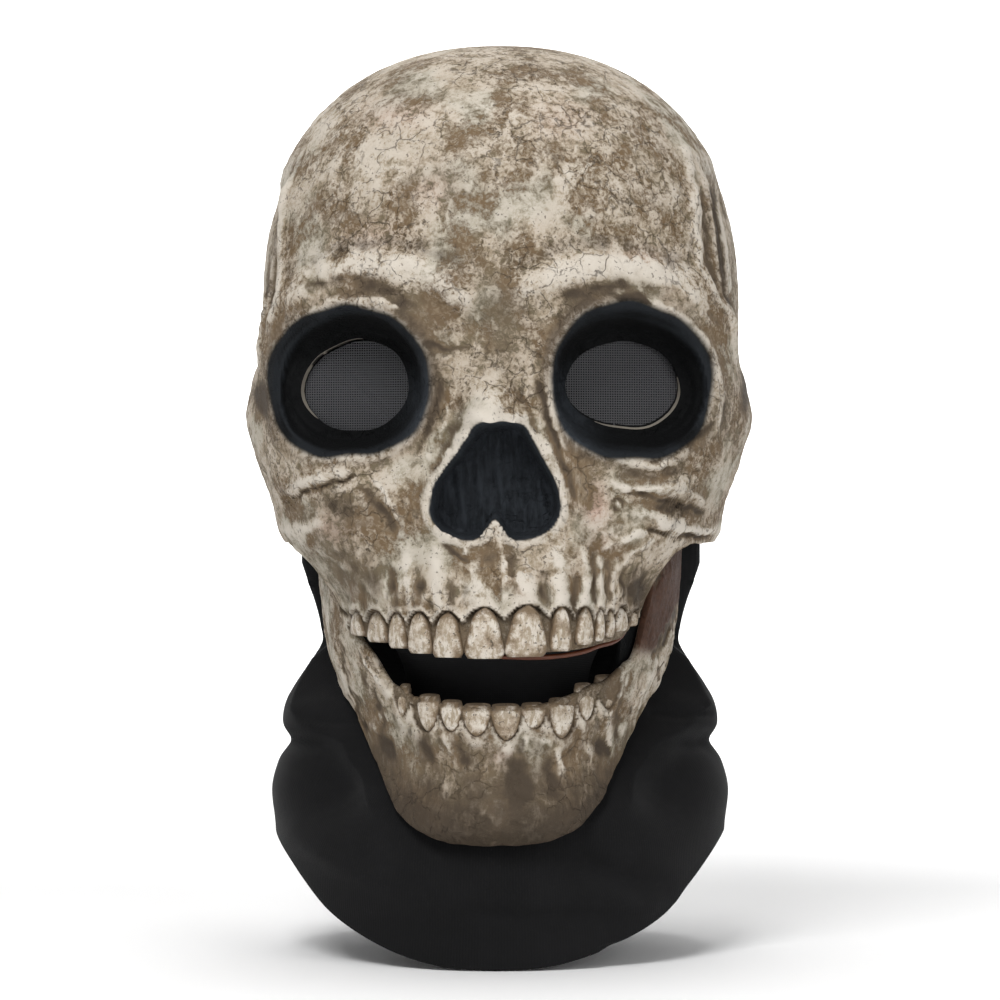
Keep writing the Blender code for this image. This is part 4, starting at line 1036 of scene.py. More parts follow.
class ClothSettings(bpy.types.PropertyGroup):
    colour: colour_setting("Cloth", "Colour of the hood and veil", "#121213")
    net: colour_setting("Net", "Colour of the net's threads", "#3F3F42")
    thread_pitch: FloatProperty(
        name="Net pitch", description="Distance between the net's threads", default=0.88 * MM, unit="LENGTH"
    )
    thread_width: FloatProperty(
        name="Net thread", description="Width of the net's threads", default=0.42 * MM, unit="LENGTH"
    )


class StageSettings(bpy.types.PropertyGroup):
    distance: FloatProperty(
        name="Distance", description="From the camera to the mask's middle", default=CAMERA_AWAY * MM,
        unit="LENGTH"
    )
    azimuth: FloatProperty(
        name="Azimuth", description="Angle of the camera round the mask", default=CAMERA_TURN, unit="ROTATION"
    )
    floor: colour_setting("Floor", "Colour of the floor and backdrop", "#FAFAFA")


class MaskSettings(bpy.types.PropertyGroup):
    paint: PointerProperty(type=BonePaint)
    skull: PointerProperty(type=SkullSettings)
    cloth: PointerProperty(type=ClothSettings)
    stage: PointerProperty(type=StageSettings)


def settings():
    return bpy.context.scene.skull_mask


def finish_of(name, make, *facts):
    """The material of that name, made once."""
    return bpy.data.materials.get(name) or make(name, *facts)


# The skull

def spaced_angles(count):
    """Angles round the head, close together over the face and wider behind."""
    share = np.linspace(-1, 1, count)
    return math.pi * (0.45 * share + 0.55 * share**5)


# Where each eye hole's cut wall shows: across the face and down
CUT_WAYS = {-1: (-0.86, -0.5), 1: (0.5, 0.86)}


def skull_rows(count):
    """Rows from the crown to the teeth, closer together from the brow down."""
    crown = BROW_DEPTH * (1 - np.cos(np.linspace(0, np.pi / 2, int(count * 0.34) + 1)[:-1]))
    return np.concatenate([crown, np.linspace(BROW_DEPTH, TEETH_DEPTH, count - len(crown))])


def socket_paint(x, depth, ahead):
    """Black paint sprayed into the sockets and the nose, fading unevenly over their rims."""
    black = np.zeros(x.shape)
    for side in (-1, 1):
        across = (x - face_middle(depth)) * side - SOCKET_CENTRE
        turn = np.arctan2(depth - SOCKET_DEPTH, across)
        wander = 0.024 * np.sin(2 * turn + 1.3 * side) + 0.014 * np.sin(5 * turn + side)
        wander = wander + 0.010 * np.sin(9 * turn)
        black = np.maximum(black, 1 - ramp(socket_reach(x, depth, side) + wander, 0.95, 1.14))
    black = np.maximum(black, ramp(nose_inset(x, depth), -1.0, 0.8))
    return black * ahead


def face_stain_and_shade(x, y, depth, ahead):
    """Darker paint on the brows, beside the nose, on the cheeks and on the upper jaw, pale where negative,
    which is partly grime and partly painted shade; brown round the socket rims and between the upper teeth;
    and painted shade towards the sides and the back of the head.
    """
    column, row = photo_place(x, y, depth)
    total = np.zeros(x.shape)
    for middle, level, wide, high, share in STAIN_AND_SHADE_PATCHES:
        total = total + share * swell(column, middle, wide) * swell(row, level, high)
    for side in (-1, 1):
        total = total + 0.5 * swell(socket_reach(x, depth, side), 1.12, 0.1)
    total = total * ahead
    # Painted shade, darker towards the sides and the back of the head
    behind = 0.25 * (1 - ramp(-y, -30, 40)) * ramp(depth, 20, 60)
    there, edge = scallop(x, UPPER_TEETH, UPPER_SCALLOP)[2:]
    under = ramp(depth, edge - 0.6, edge + 0.4)
    line = 0.35 * swell(depth, edge, 0.7)
    return total * (1 - under * there) + behind + np.where(there, 0.62 * under + line, 0) * ahead


# Darker patches, pale if negative, partly grime and partly painted shade, as in the tall strips at both sides
# of the head: column, row, half width and half height in the photograph, and how strong
STAIN_AND_SHADE_PATCHES = (
    (440, 175, 30, 26, 0.30), (455, 260, 22, 40, 0.30), (340, 215, 50, 20, 0.28),
    (505, 300, 26, 28, 0.48), (575, 300, 26, 14, 0.40), (500, 352, 30, 32, 0.45),
    (425, 320, 22, 22, 0.40), (560, 235, 26, 12, 0.18), (400, 92, 60, 16, 0.22),
    (530, 70, 50, 14, 0.28), (650, 190, 40, 34, 0.20), (610, 120, 30, 30, 0.10),
    (330, 120, 24, 30, -0.22), (380, 165, 30, 24, -0.22), (450, 225, 26, 16, -0.24),
    (330, 250, 36, 16, -0.20), (590, 180, 34, 26, -0.22), (530, 215, 26, 18, -0.18),
    (640, 265, 40, 12, -0.22), (500, 110, 30, 20, -0.15), (500, 400, 18, 17, -0.42),
    (430, 395, 16, 40, 0.35), (572, 395, 16, 50, 0.36), (585, 480, 14, 30, 0.38),
    (415, 500, 16, 34, 0.22), (300, 560, 24, 30, 0.34), (345, 520, 40, 26, 0.36),
    (360, 590, 34, 26, 0.38), (400, 480, 18, 18, -0.30), (315, 445, 30, 18, -0.10),
    (690, 500, 34, 18, 0.34), (650, 450, 60, 12, -0.10), (625, 580, 26, 34, 0.30),
    (650, 600, 18, 26, 0.45), (560, 560, 26, 20, -0.15), (470, 585, 14, 18, -0.30),
    (500, 550, 40, 12, 0.20), (735, 440, 16, 60, 0.20), (262, 440, 14, 60, 0.12),
    (715, 230, 14, 60, 0.25), (268, 250, 14, 60, 0.20), (640, 540, 22, 16, -0.2),
    (600, 525, 20, 14, -0.15), (350, 285, 50, 12, 0.25), (610, 288, 46, 10, 0.22),
    (440, 290, 26, 16, 0.20), (560, 340, 14, 30, 0.28), (445, 350, 14, 30, 0.22),
)


# Pink patches of the paint: column, row, half width and half height in the photograph, and how strong
PINK_PATCHES = (
    (596, 508, 12, 22, 0.9), (602, 545, 14, 14, 0.4), (640, 260, 26, 10, 0.5), (395, 115, 34, 14, 0.5),
    (330, 530, 22, 14, 0.5), (524, 590, 12, 16, 0.4), (480, 640, 14, 12, 0.3), (505, 756, 14, 8, 0.7),
    (430, 190, 34, 18, 0.35), (560, 120, 30, 18, 0.4), (368, 235, 30, 14, 0.35),
)


def cut_eyes(made):
    """Cuts the eye holes through both skins, evens their edges, and closes the wall between."""
    for side in (-1, 1):
        middle = side * EYE_CENTRE + float(face_middle(EYE_DEPTH))
        near = [f for f in made.faces if abs(f.calc_center_median().x / MM - middle) < 26
                and f.calc_center_median().y < -0.04]
        centres = np.array([f.calc_center_median()[:] for f in near]) / MM
        reach = eye_reach(centres[:, 0], LATEX - centres[:, 2], side)
        inside = [f for f, r in zip(near, reach) if r < 1]
        bmesh.ops.delete(made, geom=inside, context="FACES")
        border = [v for v in made.verts if v.is_boundary]
        places = np.array([v.co[:] for v in border]) / MM
        for vert, share in zip(border, eye_reach(places[:, 0], LATEX - places[:, 2], side)):
            if share < 1.5:
                across, down = vert.co.x / MM - middle, LATEX - EYE_DEPTH - vert.co.z / MM
                toward = (across * CUT_WAYS[side][0] + down * CUT_WAYS[side][1]) / math.hypot(across, down)
                behind = vert.co.y / MM > float(eye_plane(np.float64(vert.co.x / MM))) + LATEX / 2
                drawn = share * (1 + 0.05 * behind * ramp(toward, 0.1, 0.8))
                moved = across * MM / drawn - across * MM
                vert.co.x += moved
                vert.co.y += side * moved * EYE_PLANE_SLOPE
                vert.co.z = MM * (LATEX - EYE_DEPTH - down / drawn)
        edges = [e for e in made.edges if e.is_boundary]
        for wall in bmesh.ops.bridge_loops(made, edges=edges)["faces"]:
            centre = wall.calc_center_median() / MM
            across, down = centre.x - middle, LATEX - EYE_DEPTH - centre.z
            toward = (across * CUT_WAYS[side][0] + down * CUT_WAYS[side][1]) / math.hypot(across, down)
            wall.material_index = int(toward > 0.35)
    loose = [v for v in made.verts if not v.link_faces]
    bmesh.ops.delete(made, geom=loose, context="VERTS")


def jaw_paint(x, y, depth, ahead):
    """Darker paint and painted shade, streaks and flesh colour of the jaw."""
    column, row = photo_place(x, y, depth)
    place = np.stack([x, y, depth], axis=-1)
    row_here = row + 18 * lumps(place, 14.0, 41) + 9 * lumps(place, 5.0, 42)
    edge_left = np.interp(row, (640, 700, 750, 800, 845), (338, 356, 376, 405, 470))
    edge_right = np.interp(row, (640, 700, 750, 800, 845), (674, 650, 622, 603, 530))
    inside = np.minimum(column - edge_left, edge_right - column)
    # Darker towards the chin: the chin's dark paint together with painted shade
    stain_and_shade = 0.10 + 0.25 * ramp(row_here, 708, 755) + 0.55 * ramp(row_here, 735, 825)
    # Darker at both sides of the jaw: painted shade where it turns away
    stain_and_shade = stain_and_shade + 0.3 * (1 - ramp(inside, 0, 26)) * ramp(row, 690, 740)
    there, edge = scallop(x, LOWER_TEETH, LOWER_SCALLOP)[2:]
    above = 1 - ramp(depth, edge - 0.4, edge + 0.4)
    line = 0.4 * swell(depth, edge, 0.7)
    stain_and_shade = np.where(there, np.maximum(stain_and_shade * (1 - above), 0.6 * above * ahead) + line * ahead, stain_and_shade)
    border = np.interp(row, (545, 580, 602, 630, 650), (697, 690, 679, 668, 655))
    flesh = ramp(border - column, -1, 2) * (x > 0) * (1 - ramp(row, 646, 660)) * ramp(column, 610, 630)
    return stain_and_shade, ramp(row, 700, 740) * 0.6, flesh


def build_skull():
    wanted = settings().skull
    angles, rows = spaced_angles(wanted.columns), skull_rows(wanted.rows)
    angle, row = np.meshgrid(angles, rows)
    outer = skull_skin(angle, row)
    normal = corner_normals(softened(outer, 2))
    x, y, depth = outer[..., 0], outer[..., 1], LATEX - outer[..., 2]
    ahead = ramp(-y, 12, 30)
    black = socket_paint(x, depth, ahead)
    hills = 0.6 * lumps(outer, 17, 3) + 0.45 * lumps(outer, 8, 5) + 0.35 * lumps(outer, 4, 7)
    hills = hills * (wanted.lumps / MM) * (1 - 0.7 * black) * ramp(depth, 0, 20)
    formed, dark = drawn_forms(x, y, depth, FACE_FORMS)
    free = 1 - ramp(black, 0.2, 0.9)
    outer = outer + normal * (hills + formed * free)[..., None]
    relief = ((outer - softened(outer, 4)) * normal).sum(-1)
    streak, pink = front_paint(x, y, depth, ahead)
    streak = np.maximum(streak, ramp(nose_inset(x, depth), -1, 1) * ahead)
    fields = {
        "hollow": np.clip(-relief / 1.1, 0, 1) * (1 - black),
        "ridge": np.clip((relief - 0.1) / 0.6, 0, 1),
        # The darker paint here also carries the drawn forms' painted shade and painted highlight
        "stain_and_shade": np.clip(face_stain_and_shade(x, y, depth, ahead) + dark * free, -1, 1),
        "black": black,
        "streak": streak,
        "pink": pink,
        "flesh": np.zeros(x.shape),
    }
    inner_rows = np.concatenate([rows[:60:5], rows[60::4], rows[-1:]])
    inner = offset_skin(skull_skin, LATEX, angles, inner_rows, 1.6)
    rim = rounded_rim(outer, inner)
    points = np.concatenate([outer, rim, inner[::-1]])
    for name, values in fields.items():
        edge = np.repeat(values[-1:], len(rim), axis=0)
        # The inner skin is painted black all over: painted shade for the dark inside of the mask
        inside = np.full(inner.shape[:2], 1.0 if name == "black" else 0.0)
        fields[name] = np.concatenate([values, edge, inside])
    made = closed_mesh(grid_mesh("skull", points, fields))
    cut_eyes(made)
    turn_outwards(made)
    finish = finish_of("painted_cast_latex", bone_material, settings().paint)
    skull = piece("skull", made, finish, ["skull_shell"], 50)
    bare = finish_of("bare_cut_latex", plain_material, linear(BARE_LATEX), 0.6, 2.0, 0.1, 0.15)
    skull.data.materials.append(bare)
    return skull


def front_paint(x, y, depth, ahead):
    """Where the paint runs in upright streaks, and where it is pink."""
    column, row = photo_place(x, y, depth)
    beside_nose = swell(np.abs(column - 500), 66, 26) * ramp(row, 350, 400) * (1 - ramp(row, 520, 560))
    over_teeth = swell(row, 585, 24) * (1 - ramp(np.abs(column - 498), 120, 160))
    under_cheeks = swell(np.abs(column - 498), 150, 26) * swell(row, 600, 60)
    streak = np.clip(beside_nose + over_teeth + under_cheeks, 0, 1)
    pink = np.zeros(x.shape)
    for middle, level, wide, high, share in PINK_PATCHES:
        pink = np.maximum(pink, share * swell(column, middle, wide) * swell(row, level, high))
    return streak * ahead, pink * ahead


# The jaw

def build_jaw():
    angles, rows = sheet_grid(JAW_EDGES["angle"][0], JAW_EDGES["angle"][-1], JAW_GRID)
    angle, row = np.meshgrid(angles, rows)
    outer = jaw_skin(angle, row)
    normal = corner_normals(softened(outer, 1))
    x, y, depth = outer[..., 0], outer[..., 1], LATEX - outer[..., 2]
    ahead = ramp(-y, 2, 20)
    hills = 0.35 * (0.7 * lumps(outer, 15, 13) + 0.5 * lumps(outer, 7, 15) + 0.3 * lumps(outer, 3.5, 17))
    formed, dark = drawn_forms(x, y, depth, JAW_FORMS)
    outer = outer + normal * (hills + formed)[..., None]
    relief = ((outer - softened(outer, 4)) * normal).sum(-1)
    stain_and_shade, streak, flesh = jaw_paint(x, y, depth, ahead)
    fields = {
        "hollow": np.clip(-relief / 0.6, 0, 1),
        "ridge": np.clip((relief - 0.08) / 0.5, 0, 1) * (1 - 0.5 * flesh),
        # The darker paint here also carries the jaw's painted shade and the drawn forms' painted shade and
        # highlight
        "stain_and_shade": np.clip(stain_and_shade + dark, -1, 1),
        "black": np.zeros(x.shape),
        "streak": streak,
        "pink": front_paint(x, y, depth, ahead)[1],
        "flesh": flesh * (1 - ramp(dark, 0.3, 0.8)),
    }
    inner_rows = rows[::3]
    inner = offset_skin(jaw_skin, LATEX, angles, inner_rows, 0.03)
    low = rounded_rim(outer, inner)
    high = rounded_rim(inner[::-1], outer[::-1])
    points = np.concatenate([outer, low, inner[::-1], high, outer[:1]])
    counts = (len(low), len(inner), len(high))
    for name, values in fields.items():
        inside = np.full(inner.shape[:2], 1.0 if name == "black" else 0.0)
        edges = np.repeat(values[-1:], counts[0], axis=0), np.repeat(values[:1], counts[2], axis=0)
        fields[name] = np.concatenate([values, edges[0], inside, edges[1], values[:1]])
    made = closed_mesh(grid_mesh("jaw", points, fields))
    close_ends(made)
    turn_outwards(made)
    finish = finish_of("painted_cast_latex", bone_material, settings().paint)
    jaw = piece("jaw", made, finish, ["jaw_shell"], 50)
    return jaw


# The teeth

def tooth_shape(made, start, end, tip, neck, along, upward, thick, crown):
    """One crown, carved from a block: narrow at its neck, widest near its edge, rounded at its corners."""
    block = bmesh.new()
    stained = block.verts.layers.float.new("stain_and_shade")
    bmesh.ops.create_cube(block, size=2)
    bmesh.ops.subdivide_edges(block, edges=block.edges[:], cuts=9, use_grid_fill=True)
    half, middle, height = (end - start) / 2, (start + end) / 2, abs(neck - tip)
    lean = 0.05 * math.sin(middle * 0.9)
    for vert in block.verts:
        across, out, up = vert.co
        # Each slice is a squared oval, and the slices close to the neck and the edge are pulled in
        length = (abs(across) ** 3.2 + abs(out) ** 3.2) ** (1 / 3.2)
        square = max(abs(across), abs(out))
        if length > 1e-6:
            across, out = across * square / length, out * square / length
        share = (up + 1) / 2
        share = share - 0.02 * math.sin(share * 2 * math.pi)
        width = half * float(curve(share, crown["down"], crown["width"]))
        deep = thick * float(curve(share, crown["down"], crown["thick"]))
        groove = 0.09 * math.cos(across * 3 * math.pi + middle) * ramp(share, 0.25, 0.7) * (out > 0.2)
        place = along(middle + across * width + lean * half * (share - 0.5) * 2)
        forward = (out - groove * (upward > 0)) * deep
        level = neck + upward * height * share
        if upward < 0:
            level = level - 1.3 * (1 - out) * ramp(share, 0.8, 1)
        on_top = 0.55 * ramp(share, 0.97, 1) * (upward < 0) + 0.4 * ramp(share, 0.93, 1) * (upward > 0)
        at_sides, at_neck = 0.9 * abs(across) ** 4, 0.8 * (1 - ramp(share, 0, 0.24))
        vert[stained] = min(1, at_sides + at_neck + on_top + 0.8 * (out < -0.3))
        vert.co = (
            (place[0] + place[2] * forward) * MM,
            (place[1] + place[3] * forward) * MM,
            (LATEX - level) * MM,
        )
    data = bpy.data.meshes.new("tooth")
    block.to_mesh(data)
    block.free()
    made.from_mesh(data)
    bpy.data.meshes.remove(data)


def arch_place(half_width, front, back_off):
    """A function that gives a place on a dental arch, from its distance across, and the way out there."""
    def along(x):
        x = max(-half_width * 0.985, min(half_width * 0.985, x))
        y = -front * math.sqrt(1 - (x / half_width) ** 2)
        way = Vector((x / half_width**2, y / front**2)).normalized()
        return x - way.x * back_off, y - way.y * back_off, way.x, way.y
    return along


def build_teeth(name, teeth, arch, upward, thick, crown):
    made = bmesh.new()
    along = arch_place(*arch, TEETH_BEHIND)
    for start, end, tip, neck in zip(*teeth.values()):
        tooth_shape(made, start, end, tip, neck, along, upward, thick, crown)
    bmesh.ops.remove_doubles(made, verts=made.verts, dist=0.001 * MM)
    bmesh.ops.recalc_face_normals(made, faces=made.faces)
    data = bpy.data.meshes.new(name)
    made.to_mesh(data)
    made.free()
    row = piece(name, data, finish_of("painted_tooth_latex", tooth_material, settings().paint), (), 60)
    return row


def build_palate():
    """The rust-brown edge of the palate, which shows behind the upper teeth on one side."""
    turns = np.linspace(0, 2 * math.pi, 17)
    angles = np.radians(np.linspace(-4, 40, 60))
    turn, angle = np.meshgrid(turns, angles)
    depth = skull_edge(angle) + TEETH_OVERHANG * (0.7 + 0.2 * np.sin(angle * 9))
    half_width, front = UPPER_ARCH
    radius = oval_radius(angle, half_width, front, front, 2.0) - 4.6 + 1.6 * np.cos(turn)
    thick = 0.9 * ramp(np.degrees(angle), -4, 2) * (1 - ramp(np.degrees(angle), 38, 40)) + 0.02
    height = LATEX - depth + thick * np.sin(turn)
    points = np.stack([radius * np.sin(angle), -radius * np.cos(angle), height], axis=-1)
    made = closed_mesh(grid_mesh("palate_edge", points))
    close_ends(made)
    bmesh.ops.recalc_face_normals(made, faces=made.faces)
    finish = finish_of("painted_rust_latex", plain_material, linear(RUST), 0.5, 3.0, 0.3, 0.45)
    edge = piece("palate_edge", made, finish, (), 60)


def tooth_material(name, paint):
    """Cast latex teeth, painted cream: satin, with upright streaks and brown paint between them."""
    made, tree, shader = new_material(name)
    place = node(tree, "place")
    stretched = node(tree, "scaled", place, (1.0, 1.0, 0.4))
    streaks = node(tree, "noise", stretched, scale(1.8), 4.0, 0.68, 0.4)
    stains = node(tree, "noise", place, scale(6.0), 6.0, 0.72)
    stained = node(tree, "spread", stains, 0.42, 0.6)
    colour = node(tree, "blend", stained, rgba(paint.cream), rgba(paint.light))
    colour = glaze(tree, colour, paint.tan, node(tree, "spread", streaks, 0.52, 0.40), 0.85)
    uneven = node(tree, "multiply", node(tree, "subtract", 0.5, stains), 3.2)
    edge = node(tree, "add", node(tree, "field", attribute_name="stain_and_shade"), uneven)
    colour = glaze(tree, colour, paint.brown, node(tree, "spread", edge, 0.0, 0.75), 0.9)
    deep = node(tree, "add", node(tree, "field", attribute_name="stain_and_shade"), node(tree, "multiply", uneven, 0.4))
    colour = glaze(tree, colour, paint.wash_and_shade, node(tree, "spread", deep, 0.7, 1.1), 0.7)
    pits = node(tree, "noise", place, scale(1.2), 2.0)
    colour = glaze(tree, colour, paint.wash_and_shade, node(tree, "spread", pits, 0.38, 0.30), 0.75)
    tree.links.new(colour, shader.inputs["Base Color"])
    bump = node(tree, "bump", streaks, 0.2 * MM, 0.6)
    tree.links.new(bump, shader.inputs["Normal"])
    shader.inputs["Roughness"].default_value = 0.5
    shader.inputs["Specular IOR Level"].default_value = 0.3
    return made


# The cloth

def cloth_shell(name, skin, angles, rows, row_step, around_mm, down_mm):
    """A sheet of cloth with its two faces, its edges and a UV map in metres for the weave."""
    angle, row = np.meshgrid(angles, rows)
    outer = skin(angle, row)
    inner = offset_skin(skin, CLOTH, angles, rows[::2] if (len(rows) % 2) else rows, row_step)
    low, high = rounded_rim(outer, inner, 1), rounded_rim(inner[::-1], outer[::-1], 1)
    points = np.concatenate([outer, low, inner[::-1], high, outer[:1]])
    data = grid_mesh(name, points)
    layer = data.uv_layers.new(name="UVMap")
    loops = np.empty(len(data.loops), np.int32)
    data.loops.foreach_get("vertex_index", loops)
    lines, columns = points.shape[:2]
    column, line = np.arange(lines * columns) % columns, np.arange(lines * columns) // columns
    across = column / (columns - 1) * around_mm * MM
    down = line / (len(rows) - 1) * down_mm * MM
    places = np.stack([across[loops], down[loops]], axis=-1).astype(np.float32)
    layer.data.foreach_set("uv", places.reshape(-1))
    return data


def build_hood():
    angles, rows = sheet_grid(-180, 180, HOOD_GRID)
    made = closed_mesh(cloth_shell("hood", hood_skin, angles, rows, 0.03, 500, 150))
    finish = finish_of("knitted_black_cloth", cloth_material, settings().cloth.colour)
    hood = piece("hood", made, finish, ["neck_hood"], 60)
    return hood


def build_veil():
    angles, rows = sheet_grid(-VEIL_ANGLE, VEIL_ANGLE, VEIL_GRID)
    made = closed_mesh(cloth_shell("mouth_cloth", veil_skin, angles, rows, 0.03, 110, 50))
    close_ends(made)
    finish = finish_of("knitted_black_cloth", cloth_material, settings().cloth.colour)
    veil = piece("mouth_cloth", made, finish, ["mouth_veil"], 60)
    return veil


def build_webs():
    """The webs inside the cheeks: black inside the mouth, and flesh brown where they show beside the jaw."""
    finish = finish_of("painted_brown_latex", bone_material, settings().paint)
    for side, name in ((-1, "cheek_web_left"), (1, "cheek_web_right")):
        mirror = np.array([side, 1, 1])
        angles, rows = sheet_grid(WEB_EDGES["angle"][0], WEB_EDGES["angle"][-1], WEB_GRID)
        data = cloth_shell(name, lambda a, r: web_skin(a, r) * mirror, angles, rows, 0.03, 30, 60)
        flat = np.empty(len(data.vertices) * 3, np.float32)
        data.vertices.foreach_get("co", flat)
        place = flat.reshape(-1, 3) / MM
        column = photo_place(place[:, 0], place[:, 1], LATEX - place[:, 2])[0]
        shows = ramp(column, 632, 644)
        for field_name, values in (("black", 1 - shows), ("flesh", shows)):
            layer = data.attributes.new(field_name, "FLOAT", "POINT")
            layer.data.foreach_set("value", values.astype(np.float32))
        made = closed_mesh(data)
        close_ends(made)
        bmesh.ops.recalc_face_normals(made, faces=made.faces)
        web = piece(name + "_skin", made, finish, [name], 60)


# How far a net reaches past its eye hole, how far behind the socket's floor it hangs, how far its threads
# weave in and out, and how far the upright ones lie behind the others
NET_BORDER, NET_BEHIND, THREAD_WEAVE, THREAD_GAP = 1.8, 0.9, 0.12, 0.05


def build_nets():
    """Each net is woven from two sets of threads that pass over and under each other."""
    cloth = settings().cloth
    finish = finish_of("woven_black_net", plain_material, list(cloth.net), 0.6, 0.5, 0.05, 0.3)
    pitch, width = cloth.thread_pitch / MM, cloth.thread_width / MM
    for side, name in ((-1, "eye_net_left"), (1, "eye_net_right")):
        made = bmesh.new()
        middle = float(face_middle(EYE_DEPTH)) + side * EYE_CENTRE
        reach = (EYE_HALF_WIDTH + NET_BORDER, EYE_HALF_HEIGHT + NET_BORDER)
        for upright in (False, True):
            half, other = (reach[1], reach[0]) if upright else (reach[0], reach[1])
            count = int(other / pitch)
            for k in range(-count, count + 1):
                offset = k * pitch
                length = half * math.sqrt(max(1 - (offset / other) ** 2, 0))
                steps = int(length * 2 / (pitch / 2))
                if steps < 2:
                    continue
                strip = bmesh.ops.create_grid(made, x_segments=steps, y_segments=1, size=1)["verts"]
                for vert in strip:
                    run = vert.co.x * length
                    side_way = vert.co.y * width / 2
                    over = THREAD_WEAVE * math.cos(math.pi * run / pitch) * (-1 if (k % 2) ^ upright else 1)
                    across, down = (offset + side_way, run) if upright else (run, offset + side_way)
                    x = middle + across
                    y = float(eye_plane(np.float64(x))) + LATEX + NET_BEHIND + over
                    y = y + (THREAD_GAP if upright else 0)
                    vert.co = (x * MM, y * MM, (LATEX - EYE_DEPTH - down) * MM)
        net = piece(name + "_threads", made, finish, [name], 60)


# The stage, in metres

STAGE_MIDDLE = (0.0, 0.0, (LATEX - MIDDLE_DEPTH) * MM)
FLOOR_GAP = 0.0005
# How far forward the floor starts, how long it and the backdrop are in all, half their width, where the
# floor starts to bend up behind the mask, and the radius of the bend
FLOOR_START, FLOOR_LENGTH, FLOOR_HALF_WIDTH, BEND_START, BEND_RADIUS = -3.4, 10, 6, 0.3, 3.0
WORLD_LIGHT = 0.32
LAMPS = (
    {"name": "key", "where": (-0.4, -1.35, 1.15), "toward": STAGE_MIDDLE, "width": 0.8, "power": 22.0},
    {"name": "fill", "where": (1.0, -1.3, 0.25), "toward": STAGE_MIDDLE, "width": 1.2, "power": 6.5},
    {"name": "top", "where": (0.0, 0.2, 1.3), "toward": STAGE_MIDDLE, "width": 1.0, "power": 8.0},
    {"name": "backdrop", "where": (0.0, 1.0, 1.4), "toward": (0.0, 3.3, 0.4), "width": 1.6, "power": 70.0},
)


def build_backdrop():
    """The floor under the mask, which bends up into the backdrop."""
    low = min(CAD_BOX[0][2], CAD_BOX[1][2])
    made = bmesh.new()
    bmesh.ops.create_grid(made, x_segments=1, y_segments=48, size=1)
    for vert in made.verts:
        run = (vert.co.y + 1) / 2 * FLOOR_LENGTH + FLOOR_START
        turn = min(max((run - BEND_START) / BEND_RADIUS, 0), math.pi / 2)
        y = min(run, BEND_START) + BEND_RADIUS * math.sin(turn)
        z = BEND_RADIUS * (1 - math.cos(turn)) + max(run - BEND_START - BEND_RADIUS * math.pi / 2, 0)
        vert.co = (vert.co.x * FLOOR_HALF_WIDTH, y, low - FLOOR_GAP + z)
    bmesh.ops.recalc_face_normals(made, faces=made.faces)
    data = bpy.data.meshes.new("backdrop")
    made.to_mesh(data)
    made.free()
    data.shade_smooth()
    floor = bpy.data.objects.new("backdrop", data)
    bpy.context.scene.collection.objects.link(floor)
    finish, _, shader = new_material("painted_backdrop")
    shader.inputs["Base Color"].default_value = rgba(settings().stage.floor)
    shader.inputs["Roughness"].default_value = 0.9
    shader.inputs["Specular IOR Level"].default_value = 0.1
    data.materials.append(finish)


def build_camera():
    wanted = settings().stage
    scene = bpy.context.scene
    camera_data = bpy.data.cameras.new("camera")
    camera_data.sensor_width = SENSOR_WIDTH
    camera_data.lens = SENSOR_WIDTH * wanted.distance / (2 * PICTURE_MIDDLE * PIXEL * MM)
    camera = bpy.data.objects.new("camera", camera_data)
    away = Vector((math.sin(wanted.azimuth), -math.cos(wanted.azimuth), 0.0)) * wanted.distance
    camera.location = Vector(STAGE_MIDDLE) + away
    camera.rotation_euler = (-away).to_track_quat("-Z", "Y").to_euler()
    scene.collection.objects.link(camera)
    scene.camera = camera


def build_lights():
    scene = bpy.context.scene
    for lamp in LAMPS:
        data = bpy.data.lights.new(lamp["name"], "AREA")
        data.shape = "DISK"
        data.size = lamp["width"]
        data.energy = lamp["power"]
        made = bpy.data.objects.new(lamp["name"], data)
        made.location = lamp["where"]
        way = Vector(lamp["toward"]) - Vector(lamp["where"])
        made.rotation_euler = way.to_track_quat("-Z", "Y").to_euler()
        scene.collection.objects.link(made)
    world = bpy.data.worlds.new("world")
    world.use_nodes = True
    world.node_tree.nodes["Background"].inputs[0].default_value = (1, 1, 1, 1)
    world.node_tree.nodes["Background"].inputs[1].default_value = WORLD_LIGHT
    scene.world = world
    scene.view_settings.view_transform = "Standard"


# The add-on

class MASK_OT_stage(bpy.types.Operator):
    """Adds the backdrop, the lights and the camera"""

    bl_idname = "skull_mask.stage"
    bl_label = "Stage"

    def execute(self, context):
        build_backdrop()
        build_camera()
        build_lights()
        return {"FINISHED"}


class MASK_OT_skull(bpy.types.Operator):
    """Adds the painted skull"""

    bl_idname = "skull_mask.skull"
    bl_label = "Skull"

    def execute(self, context):
        build_skull()
        return {"FINISHED"}


class MASK_OT_jaw(bpy.types.Operator):
    """Adds the painted jaw"""

    bl_idname = "skull_mask.jaw"
    bl_label = "Jaw"

    def execute(self, context):
        build_jaw()
        return {"FINISHED"}


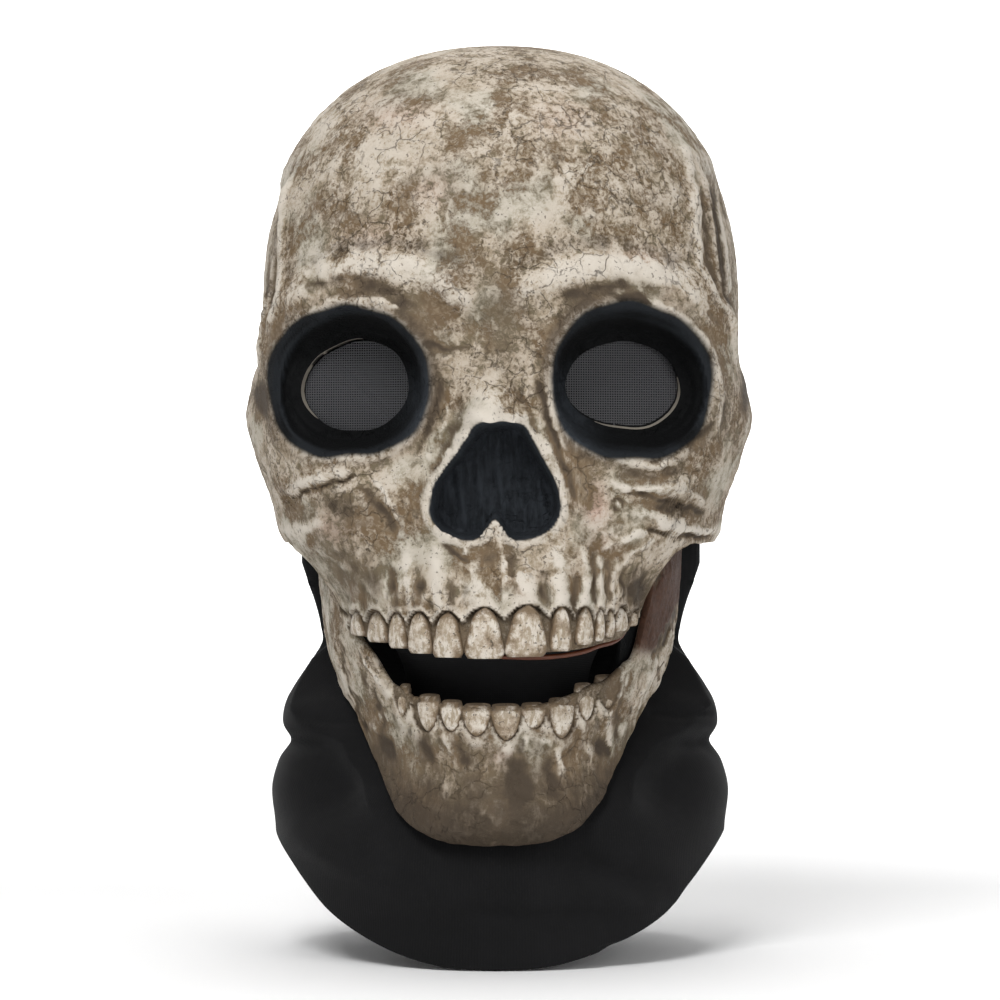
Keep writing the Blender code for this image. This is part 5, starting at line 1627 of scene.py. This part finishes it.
class MASK_OT_teeth(bpy.types.Operator):
    """Adds both rows of teeth and the edge of the palate"""

    bl_idname = "skull_mask.teeth"
    bl_label = "Teeth"

    def execute(self, context):
        build_teeth("upper_teeth", UPPER_TEETH, UPPER_ARCH, 1, UPPER_THICK, UPPER_CROWN)
        build_teeth("lower_teeth", LOWER_TEETH, LOWER_ARCH, -1, LOWER_THICK, LOWER_CROWN)
        build_palate()
        return {"FINISHED"}


class MASK_OT_hood(bpy.types.Operator):
    """Adds the cloth hood and the cloth behind the teeth"""

    bl_idname = "skull_mask.hood"
    bl_label = "Hood and mouth cloth"

    def execute(self, context):
        build_hood()
        build_veil()
        return {"FINISHED"}


class MASK_OT_nets(bpy.types.Operator):
    """Adds the woven eye nets and the brown cheek webs"""

    bl_idname = "skull_mask.nets"
    bl_label = "Eye nets and cheek webs"

    def execute(self, context):
        build_nets()
        build_webs()
        return {"FINISHED"}


OPERATORS = (MASK_OT_stage, MASK_OT_skull, MASK_OT_jaw, MASK_OT_teeth, MASK_OT_hood, MASK_OT_nets)


class MASK_PT_panel(bpy.types.Panel):
    """Lists the steps and their settings"""

    bl_label = "Skull Mask"
    bl_idname = "MASK_PT_panel"
    bl_space_type = "VIEW_3D"
    bl_region_type = "UI"
    bl_category = "Skull Mask"

    def draw(self, context):
        for group in ("paint", "skull", "cloth", "stage"):
            box = self.layout.box()
            owner = getattr(context.scene.skull_mask, group)
            for name in type(owner).__annotations__:
                box.prop(owner, name)
        for operator in OPERATORS:
            self.layout.operator(operator.bl_idname)


CLASSES = (BonePaint, SkullSettings, ClothSettings, StageSettings, MaskSettings, *OPERATORS, MASK_PT_panel)


def register():
    for item in CLASSES:
        bpy.utils.register_class(item)
    bpy.types.Scene.skull_mask = PointerProperty(type=MaskSettings)


def unregister():
    del bpy.types.Scene.skull_mask
    for item in reversed(CLASSES):
        bpy.utils.unregister_class(item)


def main():
    register()
    bpy.ops.skull_mask.stage()
    bpy.ops.skull_mask.skull()
    bpy.ops.skull_mask.jaw()
    bpy.ops.skull_mask.teeth()
    bpy.ops.skull_mask.hood()
    bpy.ops.skull_mask.nets()


if __name__ == "__main__":
    main()
